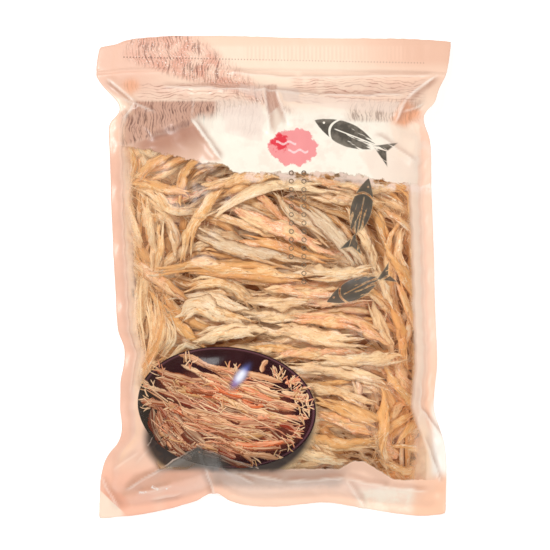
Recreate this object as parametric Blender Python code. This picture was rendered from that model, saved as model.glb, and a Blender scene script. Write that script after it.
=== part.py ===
"""A sealed, printed film pouch packed with shredded dried pollock, lying on its back.

The pouch is one closed solid: a flat cut bag whose film is bowed out by the shreds inside,
with its side seals, its wavy bottom seal and a wide flat header that carries the zip.
X runs across the pouch, Y from the bottom seal to the header and Z up from the table.
Lengths below are in millimetres and are turned to metres when the mesh is made.
"""

import math

import bmesh
import bpy
import numpy as np

MM = 0.001

# The cut size of the flat bag
BAG_WIDTH = 300.0
BAG_LENGTH = 408.0
HALF_LENGTH = BAG_LENGTH / 2
FILM_SOLID = 1.2  # thickness of the two welded films with their small waves

# The filled bag
FRONT_RISE = 41.0  # film above the side seals where the bag is fullest
BACK_DROP = 37.0  # film below them, before the table flattens it
FULLNESS = 2.7  # higher is boxier across the bag
EDGE_BLUNTNESS = 0.6  # lower is steeper beside the side seals
TABLE_ROUNDING = 4.0  # how softly the film leaves the table

SIDE_SEAL = 0.064  # share of the half width
BOTTOM_SEAL = 10.0
ZIP_Y = 174.5
ZIP_HEIGHT = 1.5
ZIP_HALF_WIDTH = 3.0
HEADER_TILT = -0.02  # the header lies slightly askew to the rest of the bag

# Powers of the share of the way up the bag: a higher one keeps the effect nearer to that end
BOTTOM_WAVE_FADE = 3
TILT_FADE = 2
TOP_WAVE_FADE = 14

# Where the side edges run, as (height up the bag, distance from its middle):
# bottom corner, flare, waist, dent, shoulder, neck, header
LEFT_EDGE = (
    (-204, -148.5), (-176, -147), (-160, -144.5), (-148, -139.5), (-138, -130.5),
    (-126, -127.7), (-107, -129.4), (-86, -128.8), (-70, -125.6), (-60, -125.5), (-45, -131),
    (-18, -132.8), (66, -136.8), (108, -138), (127, -139), (133, -136), (138, -129.6),
    (143, -129.4), (160, -143.8), (170, -150), (184, -149.3), (195, -147),
)
RIGHT_EDGE = (
    (-199, 145.5), (-192, 145.5), (-162, 145.5), (-141, 143.7), (-124, 138.3), (-108, 134),
    (-92, 135), (-70, 137), (-30, 135.4), (32, 133.8), (66, 132.4), (108, 131.6),
    (116, 130.8), (126, 127.2), (132, 125.2), (137, 125.6), (146, 135.4), (157, 138.2),
    (167, 143.8), (177, 146.8), (199, 150),
)
# The bottom and top edges, as (distance from the middle, height up the bag)
BOTTOM_EDGE = (
    (-148.5, -204), (-132, -203), (-108, -199.8), (-84, -194.4), (-62, -186.8),
    (-53, -181.4), (-48, -181.8), (-40, -187.4), (-24, -192.7), (-3, -194), (43, -190),
    (71, -194.4), (104, -199.8), (125, -202), (137, -202), (145.5, -199.6),
)
TOP_EDGE = (
    (-147, 194.3), (-130, 197.4), (-126, 200), (-104, 202.6), (-82, 204), (-58, 204),
    (46, 202), (106, 201.5), (150, 199.2),
)
# Height of the welded edges over the table, along the bag
SEAL_HEIGHT = (
    (-204, 2.5), (-190, 5), (-170, 12), (-145, 21), (-110, 25), (0, 26), (100, 27),
    (130, 25), (150, 20), (166, 16), (185, 11.5), (204, 8),
)
# How full the bag is along its length, as a share of the fullest place
FILL_ALONG = (
    (-204, 0.72), (-150, 0.92), (-110, 1.0), (-20, 1.0), (40, 0.98), (68, 0.92), (88, 0.8),
    (106, 0.64), (122, 0.49), (138, 0.345), (150, 0.21), (160, 0.09), (169, 0.015), (178, 0),
    (204, 0),
)
BOTTOM_REACH = 26.0  # how far from the bottom seal the bag takes to fill out
BOTTOM_ROUNDNESS = 1.3  # higher starts more flatly at the seal

# Folds of the front film, as (x, y of one end, x, y of the other, height, half width)
FRONT_FOLDS = (
    # under the zip and along the hinge of the header
    (-124, 166, -18, 159, 2.6, 5), (-106, 155, -32, 151, -3.2, 5), (-26, 162, 50, 158, -2.6, 5),
    (44, 160, 112, 150, 3.0, 6), (6, 148, 106, 143, 3.2, 5), (16, 139, 104, 135, -2.6, 6),
    # at the necks
    (-138, 176, -112, 148, 2.6, 6), (-126, 138, -92, 114, 3.4, 7), (136, 168, 94, 128, 4.2, 6),
    (120, 138, 104, 108, -3.4, 6),
    # over the empty film above the shreds
    (-8, 160, -1, 118, 4.4, 4), (6, 152, 12, 112, -3.2, 5), (-82, 138, -42, 88, 3.4, 7),
    (-98, 128, -66, 92, -3.2, 8), (-40, 146, -43, 92, -2.0, 6), (32, 144, 16, 92, 2.4, 7),
    (124, 124, 113, 80, 2.6, 5),
    # out of the bottom corners and the notch
    (-148, -178, -128, -195, 2.0, 3), (-128, -173, -63, -139, 4.0, 5), (-63, -139, -22, -169, 3.4, 5),
    (-116, -154, -72, -103, 2.4, 4), (-51, -180, -52, -150, -3.6, 6), (-40, -169, 58, -161, 2.6, 6),
    (58, -161, 118, -180, 3.0, 6), (61, -163, 74, -190, 2.6, 5), (123, -116, 141, -154, 3.0, 5),
    (-131, -74, -117, -132, 2.4, 4),
)
# Waves along the side seals, which pucker as the bag fills
PUCKER = 1.3
PUCKER_LENGTH = 46.0
PUCKER_REACH = 30.0
PUCKER_FREE = 30.0  # the length of side seal at each end that stays flat

# The shreds that press into the front film, as (width, x, y, x, y and so on along each)
LEAD_SHREDS = (
    (7, -122, 109, -118, 94, -121, 82), (9, -112, 82, -97, 97, -78, 106),
    (9, -119, 90, -123, 68, -116, 44, -109, 20), (8, -76, 66, -75, 85, -62, 97),
    (9, -118, 79, -100, 71, -85, 55, -66, 56), (6, -95, 63, -78, 64, -61, 71),
    (9, -109, 78, -90, 73, -78, 70), (12, -73, 14, -69, 39, -57, 59, -44, 75),
    (11, -57, 75, -38, 79, -16, 86, 1, 82), (9, -44, 70, -23, 75, -6, 81),
    (11, -49, 51, -31, 63, -11, 73, 13, 76, 46, 73), (8, -11, 66, 1, 54, 15, 42),
    (13, -35, 59, -14, 47, 12, 37, 44, 23), (9, 3, 66, 13, 52, 31, 44, 48, 33),
    (12, 25, 58, 46, 39, 67, 14), (9, -54, 52, -35, 47, -14, 40, 13, 33),
    (10, -25, 32, -4, 28, 20, 20, 41, 14), (13, -64, 37, -45, 28, -18, 20, 12, 13),
    (9, -38, 32, -14, 23, 12, 18, 38, 14), (10, -95, 51, -85, 44, -81, 27),
    (9, -106, 61, -102, 40, -99, 14), (8, -94, 39, -94, 25, -98, 9), (10, -95, 6, -81, 18, -59, 27),
    (11, -125, 20, -104, 6, -78, -17), (15, -92, 4, -66, 8, -31, 6, 20, 2),
    (12, 20, 4, 46, 2, 72, 4), (10, -28, -1, 3, -5, 46, -11),
    (11, -71, -8, -52, -3, -31, -8, -18, -23), (9, 31, 83, 48, 77, 72, 73),
    (11, 38, 70, 55, 66, 82, 59), (9, 63, 51, 75, 33, 81, 20), (10, 60, 28, 70, 16, 74, 6),
    (9, 81, 16, 88, -1, 94, -18), (6, 96, 54, 107, 45, 117, 35), (8, 101, 77, 112, 71, 113, 59),
    (9, 94, 23, 107, 2, 120, -18), (8, 113, 33, 117, 13, 120, -8), (8, 105, 35, 103, 23, 107, 13),
    (10, -78, -19, -57, -16, -25, -26), (15, -75, -30, -66, -24, -45, -31, -28, -37),
    (10, -21, -18, -4, -21, 20, -21), (10, 0, -9, 20, -11, 48, -12),
    (10, 20, -18, 46, -19, 72, -16), (11, -21, -31, 3, -33, 31, -30),
    (13, -62, -52, -38, -45, -11, -45), (13, -14, -42, 12, -43, 38, -50, 63, -52),
    (13, 20, -35, 48, -35, 72, -40, 91, -52), (9, -14, -59, 0, -59, 13, -62),
    (10, 7, -66, 29, -63, 55, -61, 72, -64), (14, 44, -66, 72, -69, 98, -66),
    (12, 15, -76, 46, -76, 72, -81, 89, -87), (10, 27, -90, 55, -95, 74, -104),
    (12, 38, -102, 55, -107, 84, -121), (12, 39, -114, 55, -119, 75, -125),
    (12, 31, -130, 55, -138, 75, -137), (12, 20, -145, 38, -149, 58, -152),
    (11, 89, -99, 91, -119, 88, -140), (10, 94, -80, 103, -92, 119, -106),
    (7, 89, -130, 105, -119, 119, -112), (6, 103, -138, 113, -125, 124, -116),
    (9, 81, -126, 89, -140, 91, -154), (6, 103, -140, 122, -145, 117, -162),
    (8, 94, -154, 107, -161, 119, -162), (9, 103, -2, 110, -23, 120, -45),
    (9, 98, -25, 105, -45, 107, -66), (7, 115, -11, 113, -37, 107, -59),
    (7, 129, -43, 122, -61, 119, -78), (9, -99, -18, -83, -35, -62, -56),
    (8, -94, -25, -94, -47, -106, -71), (8, -102, -28, -100, -50, -107, -75),
    (9, -112, -9, -114, -33, -111, -59), (8, -118, -30, -116, -49, -109, -68),
    (7, -90, -35, -85, -49, -94, -62), (12, -78, -71, -52, -75, -25, -71),
    (12, -92, -92, -62, -87, -31, -88), (11, -28, -81, -4, -87, 20, -92),
    (11, -104, -99, -94, -116, -90, -137), (12, -78, -106, -49, -104, -18, -109),
    (13, -83, -123, -52, -121, -25, -126), (11, -18, -102, 3, -109, 25, -112),
    (12, -25, -126, -4, -123, 20, -128), (11, -78, -140, -49, -138, -25, -144),
    (10, -14, -144, 1, -140, 17, -133), (10, -102, -123, -107, -144, -104, -157),
)
SHRED_PRESS = 0.21  # share of its width by which a shred pushes the film out
SHRED_SPREAD = 0.55  # share of its width over which the ridge falls away
SHRED_END = 0.15  # share of a shred at each end where its ridge gets no lower
FOLD_END = 0.08  # the same for a fold

# Where the bag is this full, as a share of its fullest place, the relief has its whole height
PRESSED_FULLNESS = 1 / 3
FOLDED_FULLNESS = 1 / 12

# Grid lines of the front film. The back has every second one.
ACROSS = 56
BODY_ROWS = 62
SEAL_ROWS = 2
ZIP_ROWS = 4
HEADER_ROWS = 4
ALONG = BODY_ROWS + SEAL_ROWS + ZIP_ROWS + HEADER_ROWS


def clear_scene():
    for old in list(bpy.data.objects):
        bpy.data.objects.remove(old, do_unlink=True)


def through(stations, at):
    """A smooth curve through the stations that never overshoots between two of them."""
    place, value = np.array(stations, float).T
    slope = np.diff(value) / np.diff(place)
    before, after = slope[:-1], slope[1:]
    level = before * after <= 0
    total = np.where(level, 1.0, before + after)
    inner = np.where(level, 0.0, 2 * before * after / total)
    tangent = np.concatenate([slope[:1], inner, slope[-1:]])
    at = np.clip(at, place[0], place[-1])
    k = np.clip(np.searchsorted(place, at) - 1, 0, len(slope) - 1)
    gap = place[k + 1] - place[k]
    t = (at - place[k]) / gap
    return (
        value[k] * (1 + 2 * t) * (1 - t) ** 2
        + value[k + 1] * t * t * (3 - 2 * t)
        + gap * tangent[k] * t * (1 - t) ** 2
        + gap * tangent[k + 1] * t * t * (t - 1)
    )


def grid_lines():
    """The lines across the bag, from -1 to 1, and along it, from 0 to 1, set on its seals and zip."""
    inner = 1 - SIDE_SEAL
    across = np.concatenate([[-1], np.linspace(-inner, inner, ACROSS - 1), [1]])
    seal = BOTTOM_SEAL / BAG_LENGTH
    zip_low = (ZIP_Y - ZIP_HALF_WIDTH + HALF_LENGTH) / BAG_LENGTH
    zip_high = (ZIP_Y + ZIP_HALF_WIDTH + HALF_LENGTH) / BAG_LENGTH
    along = np.concatenate([
        np.linspace(0, seal, SEAL_ROWS + 1),
        np.linspace(seal, zip_low, BODY_ROWS + 1)[1:],
        np.linspace(zip_low, zip_high, ZIP_ROWS + 1)[1:],
        np.linspace(zip_high, 1, HEADER_ROWS + 1)[1:],
    ])
    return across, along


def outline_place(across, along):
    """A flat bag point's place in plan once the bag is filled, and its height above the bottom edge.

    The waves of the bottom edge die out up the bag and those of the top edge within the header.
    """
    share = (across + 1) / 2
    low_x = BOTTOM_EDGE[0][0] + share * (BOTTOM_EDGE[-1][0] - BOTTOM_EDGE[0][0])
    high_x = TOP_EDGE[0][0] + share * (TOP_EDGE[-1][0] - TOP_EDGE[0][0])
    low_wave = through(BOTTOM_EDGE, low_x) + HALF_LENGTH
    askew = HEADER_TILT * high_x
    high_wave = through(TOP_EDGE, high_x) - HALF_LENGTH - askew
    y = BAG_LENGTH * along - HALF_LENGTH
    y = y + low_wave * (1 - along) ** BOTTOM_WAVE_FADE + askew * along**TILT_FADE
    y = y + high_wave * along**TOP_WAVE_FADE
    left, right = through(LEFT_EDGE, y), through(RIGHT_EDGE, y)
    return left + (right - left) * share, y, y + HALF_LENGTH - low_wave


def near_line(x, y, x0, y0, x1, y1):
    """Distance to a straight line piece, and how far along it the nearest place is, from 0 to 1."""
    dx, dy = x1 - x0, y1 - y0
    t = np.clip(((x - x0) * dx + (y - y0) * dy) / (dx * dx + dy * dy), 0, 1)
    return np.hypot(x - x0 - t * dx, y - y0 - t * dy), t


def pressed_out(x, y):
    """How far the shreds push the film out: one rounded ridge for each, the highest counts."""
    height = np.zeros_like(x)
    for width, *places in LEAD_SHREDS:
        points = list(zip(places[::2], places[1::2]))
        count = len(points) - 1
        for k in range(count):
            away, t = near_line(x, y, *points[k], *points[k + 1])
            taper = np.sin(np.pi * np.clip((k + t) / count, SHRED_END, 1 - SHRED_END))
            ridge = taper * np.exp(-((away / (SHRED_SPREAD * width)) ** 2))
            height = np.maximum(height, SHRED_PRESS * width * ridge)
    return height


def folded(x, y):
    """The folds of the film, each a soft ridge or valley that fades at its ends."""
    height = np.zeros_like(x)
    for x0, y0, x1, y1, rise, half_width in FRONT_FOLDS:
        away, t = near_line(x, y, x0, y0, x1, y1)
        taper = np.sin(np.pi * np.clip(t, FOLD_END, 1 - FOLD_END))
        height += rise * taper * np.exp(-((away / half_width) ** 2))
    return height


def zip_ridge(along):
    y = BAG_LENGTH * along - HALF_LENGTH
    return ZIP_HEIGHT * (np.abs(y - ZIP_Y) < ZIP_HALF_WIDTH / 2)


def film_heights(across, along, x, y, above_bottom):
    """Heights of the front and back film over the table."""
    edge = np.clip(np.abs(across) / (1 - SIDE_SEAL), 0, 1)
    swell = (1 - edge**FULLNESS) ** EDGE_BLUNTNESS
    inside_bottom = np.clip(above_bottom - BOTTOM_SEAL, 0, None)
    rounding = np.sqrt(1 - np.exp(-((inside_bottom / BOTTOM_REACH) ** BOTTOM_ROUNDNESS)))
    fill = swell * rounding * through(FILL_ALONG, y)
    side_waves = np.exp(-(1 - np.abs(across)) * BAG_WIDTH / 2 / PUCKER_REACH)
    pucker = PUCKER * np.sin(2 * np.pi * y / PUCKER_LENGTH) * side_waves
    welded = through(SEAL_HEIGHT, y) + pucker * (np.abs(y) < HALF_LENGTH - PUCKER_FREE)
    relief = np.clip(fill / PRESSED_FULLNESS, 0, 1) * pressed_out(x, y)
    relief = relief + np.clip(fill / FOLDED_FULLNESS, 0, 1) * folded(x, y)
    front = welded + FRONT_RISE * fill + relief
    back = welded - BACK_DROP * fill
    lifted = np.clip(back, 0, None)
    back = lifted**2 / (lifted + TABLE_ROUNDING * np.exp(-lifted / TABLE_ROUNDING))
    front = np.maximum(front, back) + FILM_SOLID / 2 + zip_ridge(along)
    back = np.clip(back - FILM_SOLID / 2, 0, None)
    return front, back


def add_film(bm, step, is_front):
    """One film as a grid in plan, raised to its height. A coarser grid keeps every rim point."""
    film = bmesh.new()
    bmesh.ops.create_grid(film, x_segments=ACROSS // step, y_segments=ALONG // step, size=1)
    if step > 1:
        rim = [e for e in film.edges if e.is_boundary]
        bmesh.ops.subdivide_edges(film, edges=rim, cuts=step - 1)
    place = np.array([v.co[:2] for v in film.verts])
    lines_across, lines_along = grid_lines()
    across = np.interp((place[:, 0] + 1) / 2 * ACROSS, np.arange(ACROSS + 1), lines_across)
    along = np.interp((place[:, 1] + 1) / 2 * ALONG, np.arange(ALONG + 1), lines_along)
    x, y, above_bottom = outline_place(across, along)
    z = film_heights(across, along, x, y, above_bottom)[0 if is_front else 1]
    for v, point in zip(film.verts, np.stack([x, y, z], axis=1) * MM):
        v.co = point
    sheet = bpy.data.meshes.new("film")
    film.to_mesh(sheet)
    film.free()
    bm.from_mesh(sheet)
    bpy.data.meshes.remove(sheet)


def centre_on_origin(bm):
    """Puts the middle of the pouch's plan over the origin, and what it rests on at zero."""
    points = np.array([v.co[:] for v in bm.verts])
    low, high = points.min(axis=0), points.max(axis=0)
    shift = (-(low[0] + high[0]) / 2, -(low[1] + high[1]) / 2, -low[2])
    bmesh.ops.translate(bm, verts=bm.verts, vec=shift)


def film_material():
    material = bpy.data.materials.new("printed_film")
    material.use_nodes = True
    shader = material.node_tree.nodes["Principled BSDF"]
    shader.inputs["Base Color"].default_value = (0.90, 0.66, 0.50, 1)
    shader.inputs["Roughness"].default_value = 0.28
    shader.inputs["Metallic"].default_value = 0.0
    return material


def make_pouch():
    bm = bmesh.new()
    add_film(bm, 1, is_front=True)
    add_film(bm, 2, is_front=False)
    rims = [e for e in bm.edges if e.is_boundary]
    bmesh.ops.bridge_loops(bm, edges=rims)
    bmesh.ops.recalc_face_normals(bm, faces=bm.faces)
    centre_on_origin(bm)
    mesh = bpy.data.meshes.new("pouch")
    bm.to_mesh(mesh)
    bm.free()
    mesh.shade_smooth()
    mesh.set_sharp_from_angle(angle=math.radians(50))
    pouch = bpy.data.objects.new("pouch", mesh)
    bpy.context.scene.collection.objects.link(pouch)
    mesh.materials.append(film_material())
    return pouch


clear_scene()
make_pouch()
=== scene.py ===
"""A printed film pouch with a zip header, packed with shredded dried pollock and lying on its back."""

import math
import random

import bmesh
import bpy
import numpy as np
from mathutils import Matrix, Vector, noise
from mathutils.bvhtree import BVHTree


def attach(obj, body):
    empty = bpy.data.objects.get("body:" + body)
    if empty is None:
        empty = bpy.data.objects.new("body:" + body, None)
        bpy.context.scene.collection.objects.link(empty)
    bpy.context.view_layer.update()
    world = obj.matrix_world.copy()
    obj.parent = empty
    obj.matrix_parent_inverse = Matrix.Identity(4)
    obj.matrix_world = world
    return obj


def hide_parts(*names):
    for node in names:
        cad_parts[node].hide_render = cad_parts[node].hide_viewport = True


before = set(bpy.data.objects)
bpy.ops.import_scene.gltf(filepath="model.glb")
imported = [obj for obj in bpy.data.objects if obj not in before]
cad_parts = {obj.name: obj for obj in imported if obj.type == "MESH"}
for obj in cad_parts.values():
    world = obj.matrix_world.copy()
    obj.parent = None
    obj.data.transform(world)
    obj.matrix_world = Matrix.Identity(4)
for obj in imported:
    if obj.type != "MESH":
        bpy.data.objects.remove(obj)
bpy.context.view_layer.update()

# The film: two webs of clear laminate, welded down both sides and along the bottom, with a zip
# in the header. It is the solid's own skin, made finer, with the small creases that a filled
# pouch has: puckers across the side welds and slack folds over the empty film below the header.
MM = 0.001
HALF_WIDTH, HALF_LENGTH = 150.0, 204.0
FILM_LEVELS = 2
# Sharp folds in the front web: both ends, the height and how far each side slopes away, left first.
FOLDS = (
    (-67, 151, -69, 131, 1.1, 7, 5), (-69, 131, -44, 97, 2.2, 4, 9), (-8, 160, -4, 120, 2, 3, 6),
    (1, 157, 12, 128, 2.3, 7, 2.5), (-92, 159, -18, 157, 1.9, 3, 6), (-18, 157, 40, 151, 1.7, 3, 7),
    (40, 151, 108, 152, 2, 3, 7), (-140, 167, -116, 147, 2.3, 6, 3), (-116, 147, -124, 128, 2.2, 3, 7),
    (-128, 150, -100, 138, 1.6, 4, 5), (136, 170, 111, 149, 2.5, 4, 8), (111, 149, 101, 129, 2.2, 3, 8),
    (126, 146, 108, 138, 1.7, 4, 4), (-37, 172, 20, 167, 1.2, 3, 5), (20, 167, 132, 170, 1.3, 3, 5),
    (84, 118, 118, 96, 1.4, 4, 6), (-146, -168, -131, -194, 1.7, 3, 5),
    (-124, -178, -63, -138, 1.6, 3, 6), (-63, -138, -44, -148, 1.2, 3, 6),
    (-44, -154, -17, -171, 1.6, 3, 8),
    (-60, -141, -51, -184, 2, 6, 3), (-134, -160, -112, -146, 0.9, 4, 8), (-44, -157, 9, -169, 1.7, 3, 7),
    (9, -169, 60, -166, 1.9, 3, 8), (60, -166, 97, -175, 1.9, 3, 7), (97, -175, 128, -179, 1.7, 3, 7),
    (61, -166, 76, -195, 1.7, 3, 6), (121, -110, 146, -141, 2.3, 4, 8), (124, -132, 140, -172, 1.9, 4, 7),
    (-115, -181, -86, -174, 1.4, 3, 4), (-104, -186, -78, -181, 1.2, 3, 3), (-33, -92, -24, -76, 0.7, 2, 4),
    (122, -88, 118, -152, 0.9, 3, 3), (-114, -154, -80, -120, 0.7, 2, 4), (-126, 60, -122, 20, 0.7, 3, 4),
)


def mesh_of(bm, name):
    """A mesh made from a bmesh, which is let go."""
    mesh = bpy.data.meshes.new(name)
    bm.to_mesh(mesh)
    bm.free()
    return mesh


def piece_of(name, data):
    """A new object in the scene."""
    piece = bpy.data.objects.new(name, data)
    bpy.context.scene.collection.objects.link(piece)
    return piece


def fine_skin(node, name):
    """A CAD node's mesh joined up, turned back to four-sided faces and subdivided."""
    bm = bmesh.new()
    bm.from_mesh(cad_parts[node].data)
    bmesh.ops.remove_doubles(bm, verts=bm.verts, dist=1e-6)
    bmesh.ops.join_triangles(
        bm, faces=bm.faces, angle_face_threshold=math.pi, angle_shape_threshold=math.pi
    )
    sharp = bm.verts.layers.float.new("crease_vert")
    for across, along in ((-1, -1), (1, -1), (-1, 1), (1, 1)):
        max(bm.verts, key=lambda v: across * v.co.x + along * v.co.y)[sharp] = 0.8
    coarse = mesh_of(bm, name + "_coarse")
    piece = piece_of(name, coarse)
    finer = piece.modifiers.new("finer", "SUBSURF")
    finer.levels = finer.render_levels = FILM_LEVELS
    shape = bpy.data.meshes.new_from_object(piece.evaluated_get(bpy.context.evaluated_depsgraph_get()))
    piece.modifiers.clear()
    piece.data = shape
    bpy.data.meshes.remove(coarse)
    shape.shade_smooth()
    return piece


def places_of(mesh):
    """The vertices' places in millimetres."""
    flat = np.zeros(len(mesh.vertices) * 3, np.float32)
    mesh.vertices.foreach_get("co", flat)
    return flat.reshape(-1, 3).astype(float) / MM


def normals_of(mesh):
    """The vertices' normals."""
    flat = np.zeros(len(mesh.vertices) * 3, np.float32)
    mesh.vertices.foreach_get("normal", flat)
    return flat.reshape(-1, 3).astype(float)


def put_places(mesh, places):
    """Moves the vertices to places in millimetres."""
    mesh.vertices.foreach_set("co", (places * MM).astype(np.float32).ravel())
    mesh.update()


def soft_step(at, low, high):
    """0 below low and 1 above high, eased between them."""
    t = np.clip((at - low) / (high - low), 0, 1)
    return t * t * (3 - 2 * t)


def wander(places, scale, seed=0.0):
    """Smooth noise between -1 and 1 at each place, a few scale long."""
    return np.array([noise.noise(Vector(p) / scale + Vector((seed, seed, seed))) for p in places])


def side_line(places, way):
    """How far to one side the pouch reaches, for each whole height up it."""
    rows = np.round(places[:, 1]).astype(int) + int(HALF_LENGTH) + 2
    line = np.full(int(HALF_LENGTH) * 2 + 5, -np.inf)
    np.maximum.at(line, rows, way * places[:, 0])
    padded = np.pad(line, 3, mode="edge")
    line = np.max([padded[k : k + len(line)] for k in range(7)], axis=0)
    padded = np.pad(line, 2, mode="edge")
    return way * np.mean([padded[k : k + len(line)] for k in range(5)], axis=0)


film = fine_skin("pouch", "pouch_film")
skin = places_of(film.data)
skin_normals = normals_of(film.data)
left_line, right_line = side_line(skin, -1), side_line(skin, 1)
row = np.clip(skin[:, 1] + HALF_LENGTH + 2, 0, len(left_line) - 1)
every_row = np.arange(len(left_line))
edge_left = skin[:, 0] - np.interp(row, every_row, left_line)
edge_right = np.interp(row, every_row, right_line) - skin[:, 0]
edge = np.minimum(edge_left, edge_right)
front = soft_step(skin_normals[:, 2], -0.1, 0.1)

flat = skin * (1, 1, 0.25)
pucker = np.sin(skin[:, 1] / 2.6 + 3.0 * wander(flat, 34.0, 3.0)) * soft_step(edge, 1, 9)
pucker *= (1 - soft_step(edge, 14, 30)) * (1 - soft_step(skin[:, 1], 140, 160))
slack = soft_step(skin[:, 1], 92, 120) * (1 - soft_step(skin[:, 1], 162, 170))
slack += 0.8 * (1 - soft_step(skin[:, 1], -178, -150)) * soft_step(skin[:, 1], -196, -186)
crease = 1 - np.abs(wander(flat * (1, 1.5, 1), 22.0, 9.0)) * 2.4
crease += 0.5 * (1 - np.abs(wander(flat, 9.0, 5.0)) * 2.4)
ripple = wander(flat * (1.6, 1, 1), 13.0, 1.0)
ripple_x, ripple_y = wander(flat, 15.0, 12.0), wander(flat, 15.0, 17.0)
folds, crest, shade = np.zeros(len(skin)), np.zeros(len(skin)), np.zeros(len(skin))
for x0, y0, x1, y1, height, left_slope, right_slope in FOLDS:
    run = math.hypot(x1 - x0, y1 - y0)
    ahead = np.array((x1 - x0, y1 - y0)) / run
    bent = skin[:, :2] + 1.2 * np.stack([ripple_x, ripple_y], axis=1)
    along_fold = (bent - (x0, y0)) @ ahead
    across_fold = (bent - (x0, y0)) @ np.array((-ahead[1], ahead[0]))
    slope = np.where(across_fold > 0, left_slope, right_slope)
    ends = soft_step(along_fold, -3, 6) * (1 - soft_step(along_fold, run - 6, run + 3))
    folds += height * ends * np.clip(1 - np.abs(across_fold) / slope, 0, 1) ** 1.3
    # Painted light for each fold: a shade on its steep side and a pale line along its crest, which the
    # print reads as a painted shade and a painted highlight.
    steep = across_fold * (1 if left_slope < right_slope else -1)
    in_shade = soft_step(steep, 0.2, 1.4) * (1 - soft_step(steep, 2, 7))
    shade = np.maximum(shade, height / 2.5 * ends * in_shade)
    crest = np.maximum(crest, height / 2.5 * ends * (1 - soft_step(np.abs(across_fold), 0.3, 1.5)))
rise = folds * front * soft_step(edge, 1, 6)
rise += 0.45 * pucker + 0.55 * slack * crease * soft_step(edge, 3, 12)
rise += 0.25 * ripple * soft_step(edge, 6, 20)
skin = skin + skin_normals * rise[:, None]
skin[:, 1] = np.clip(skin[:, 1], -HALF_LENGTH, HALF_LENGTH)
skin[:, 2] = np.clip(skin[:, 2], 0.05, None)
put_places(film.data, skin)


def keep_number(mesh, name, values):
    """Keeps one number for each vertex, which a material reads by its name."""
    mesh.attributes.new(name, "FLOAT", "POINT").data.foreach_set("value", values.astype(np.float32))


for kept_name, kept_values in (
    ("edge", edge), ("front", front), ("crest", crest * front), ("shade", shade * front),
):
    keep_number(film.data, kept_name, kept_values)


class Wire:
    """A socket in a material. Sums, products and powers of wires add Math nodes."""

    def __init__(self, socket):
        self.socket = socket

    def node(self, kind, settings, sockets, out=0):
        """A new node, fed by wires and values, and a wire from one of its outputs."""
        tree = self.socket.id_data
        made = tree.nodes.new(kind)
        for name, value in settings.items():
            setattr(made, name, value)
        for key, value in sockets.items():
            if isinstance(value, Wire):
                tree.links.new(value.socket, made.inputs[key])
            else:
                made.inputs[key].default_value = value
        return Wire(made.outputs[out])

    def maths(self, how, first, second=0.0):
        return self.node("ShaderNodeMath", {"operation": how}, {0: first, 1: second})

    def __add__(self, other):
        return self.maths("ADD", self, other)

    def __sub__(self, other):
        return self.maths("SUBTRACT", self, other)

    def __rsub__(self, other):
        return self.maths("SUBTRACT", other, self)

    def __mul__(self, other):
        return self.maths("MULTIPLY", self, other)

    def __truediv__(self, other):
        return self.maths("DIVIDE", self, other)

    def __pow__(self, other):
        return self.maths("POWER", self, other)

    __radd__ = __add__
    __rmul__ = __mul__

    def axis(self, k):
        return self.node("ShaderNodeSeparateXYZ", {}, {0: self}, k)

    def most(self, other):
        return self.maths("MAXIMUM", self, other)

    def least(self, other):
        return self.maths("MINIMUM", self, other)

    def size(self):
        return self.maths("ABSOLUTE", self)

    def part(self):
        return self.maths("FRACT", self)

    def ramp(self, low, high):
        """0 at low and 1 at high, eased at both ends."""
        return self.node(
            "ShaderNodeMapRange",
            {"interpolation_type": "SMOOTHSTEP"},
            {"Value": self, "From Min": low, "From Max": high},
        )

    def within(self, low, high, soft):
        """1 between low and high, fading to 0 over soft outside them."""
        return self.ramp(low - soft, low) * self.ramp(high + soft, high)

    def coat(self, cover, tone):
        """Lays a colour over this one, and is the result from then on."""
        self.socket = painted(self, cover, tone).socket


def srgb(red, green, blue):
    """A colour as a picture shows it, 0 to 255, in the shader's linear numbers."""
    return tuple(((c / 255 + 0.055) / 1.055) ** 2.4 for c in (red, green, blue)) + (1.0,)


def new_material(name):
    """An empty material, and a wire to start from: the Object coordinates."""
    material = bpy.data.materials.new(name)
    material.use_nodes = True
    material.node_tree.nodes.clear()
    return material, Wire(material.node_tree.nodes.new("ShaderNodeTexCoord").outputs["Object"])


def finish_material(material, shader):
    """Joins a shader to the material's output."""
    out = material.node_tree.nodes.new("ShaderNodeOutputMaterial")
    material.node_tree.links.new(shader.socket, out.inputs["Surface"])
    return material


def plan_of(start):
    """Wires for the place across and along the pouch, in millimetres."""
    return start.axis(0) * 1000, start.axis(1) * 1000


def kept_by(start, name, out):
    """A wire for what the vertices keep: out is 0 for a colour, 1 for three numbers, 2 for one."""
    return start.node("ShaderNodeAttribute", {"attribute_name": name}, {}, out)


def joined(across, along, height=0.0):
    """Three numbers as one place."""
    return across.node("ShaderNodeCombineXYZ", {}, {0: across, 1: along, 2: height})


def stretched(vector, scale):
    """A place with each of its numbers scaled."""
    return vector.node("ShaderNodeMapping", {}, {0: vector, 3: scale})


def cloudy(vector, scale, detail=3.0, roughness=0.5, distortion=0.0):
    """Noise between 0 and 1."""
    sockets = {"Scale": scale, "Detail": detail, "Roughness": roughness, "Distortion": distortion}
    return vector.node("ShaderNodeTexNoise", {}, {"Vector": vector, **sockets})


def bump_from(height, strength, distance):
    """Normals tilted by a height."""
    return height.node("ShaderNodeBump", {}, {"Strength": strength, "Distance": distance, "Height": height})


def principled(look):
    """The shader for a look given by its sockets, the base colour a wire."""
    return look["Base Color"].node("ShaderNodeBsdfPrincipled", {}, look)


def painted(under, cover, colour):
    """One colour laid over another where cover is 1. Three numbers are a colour as a picture shows it."""
    if len(colour) == 3:
        colour = srgb(*colour)
    settings = {"data_type": "RGBA", "clamp_factor": True}
    return under.node("ShaderNodeMix", settings, {0: cover, 6: under, 7: colour}, 2)


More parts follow.
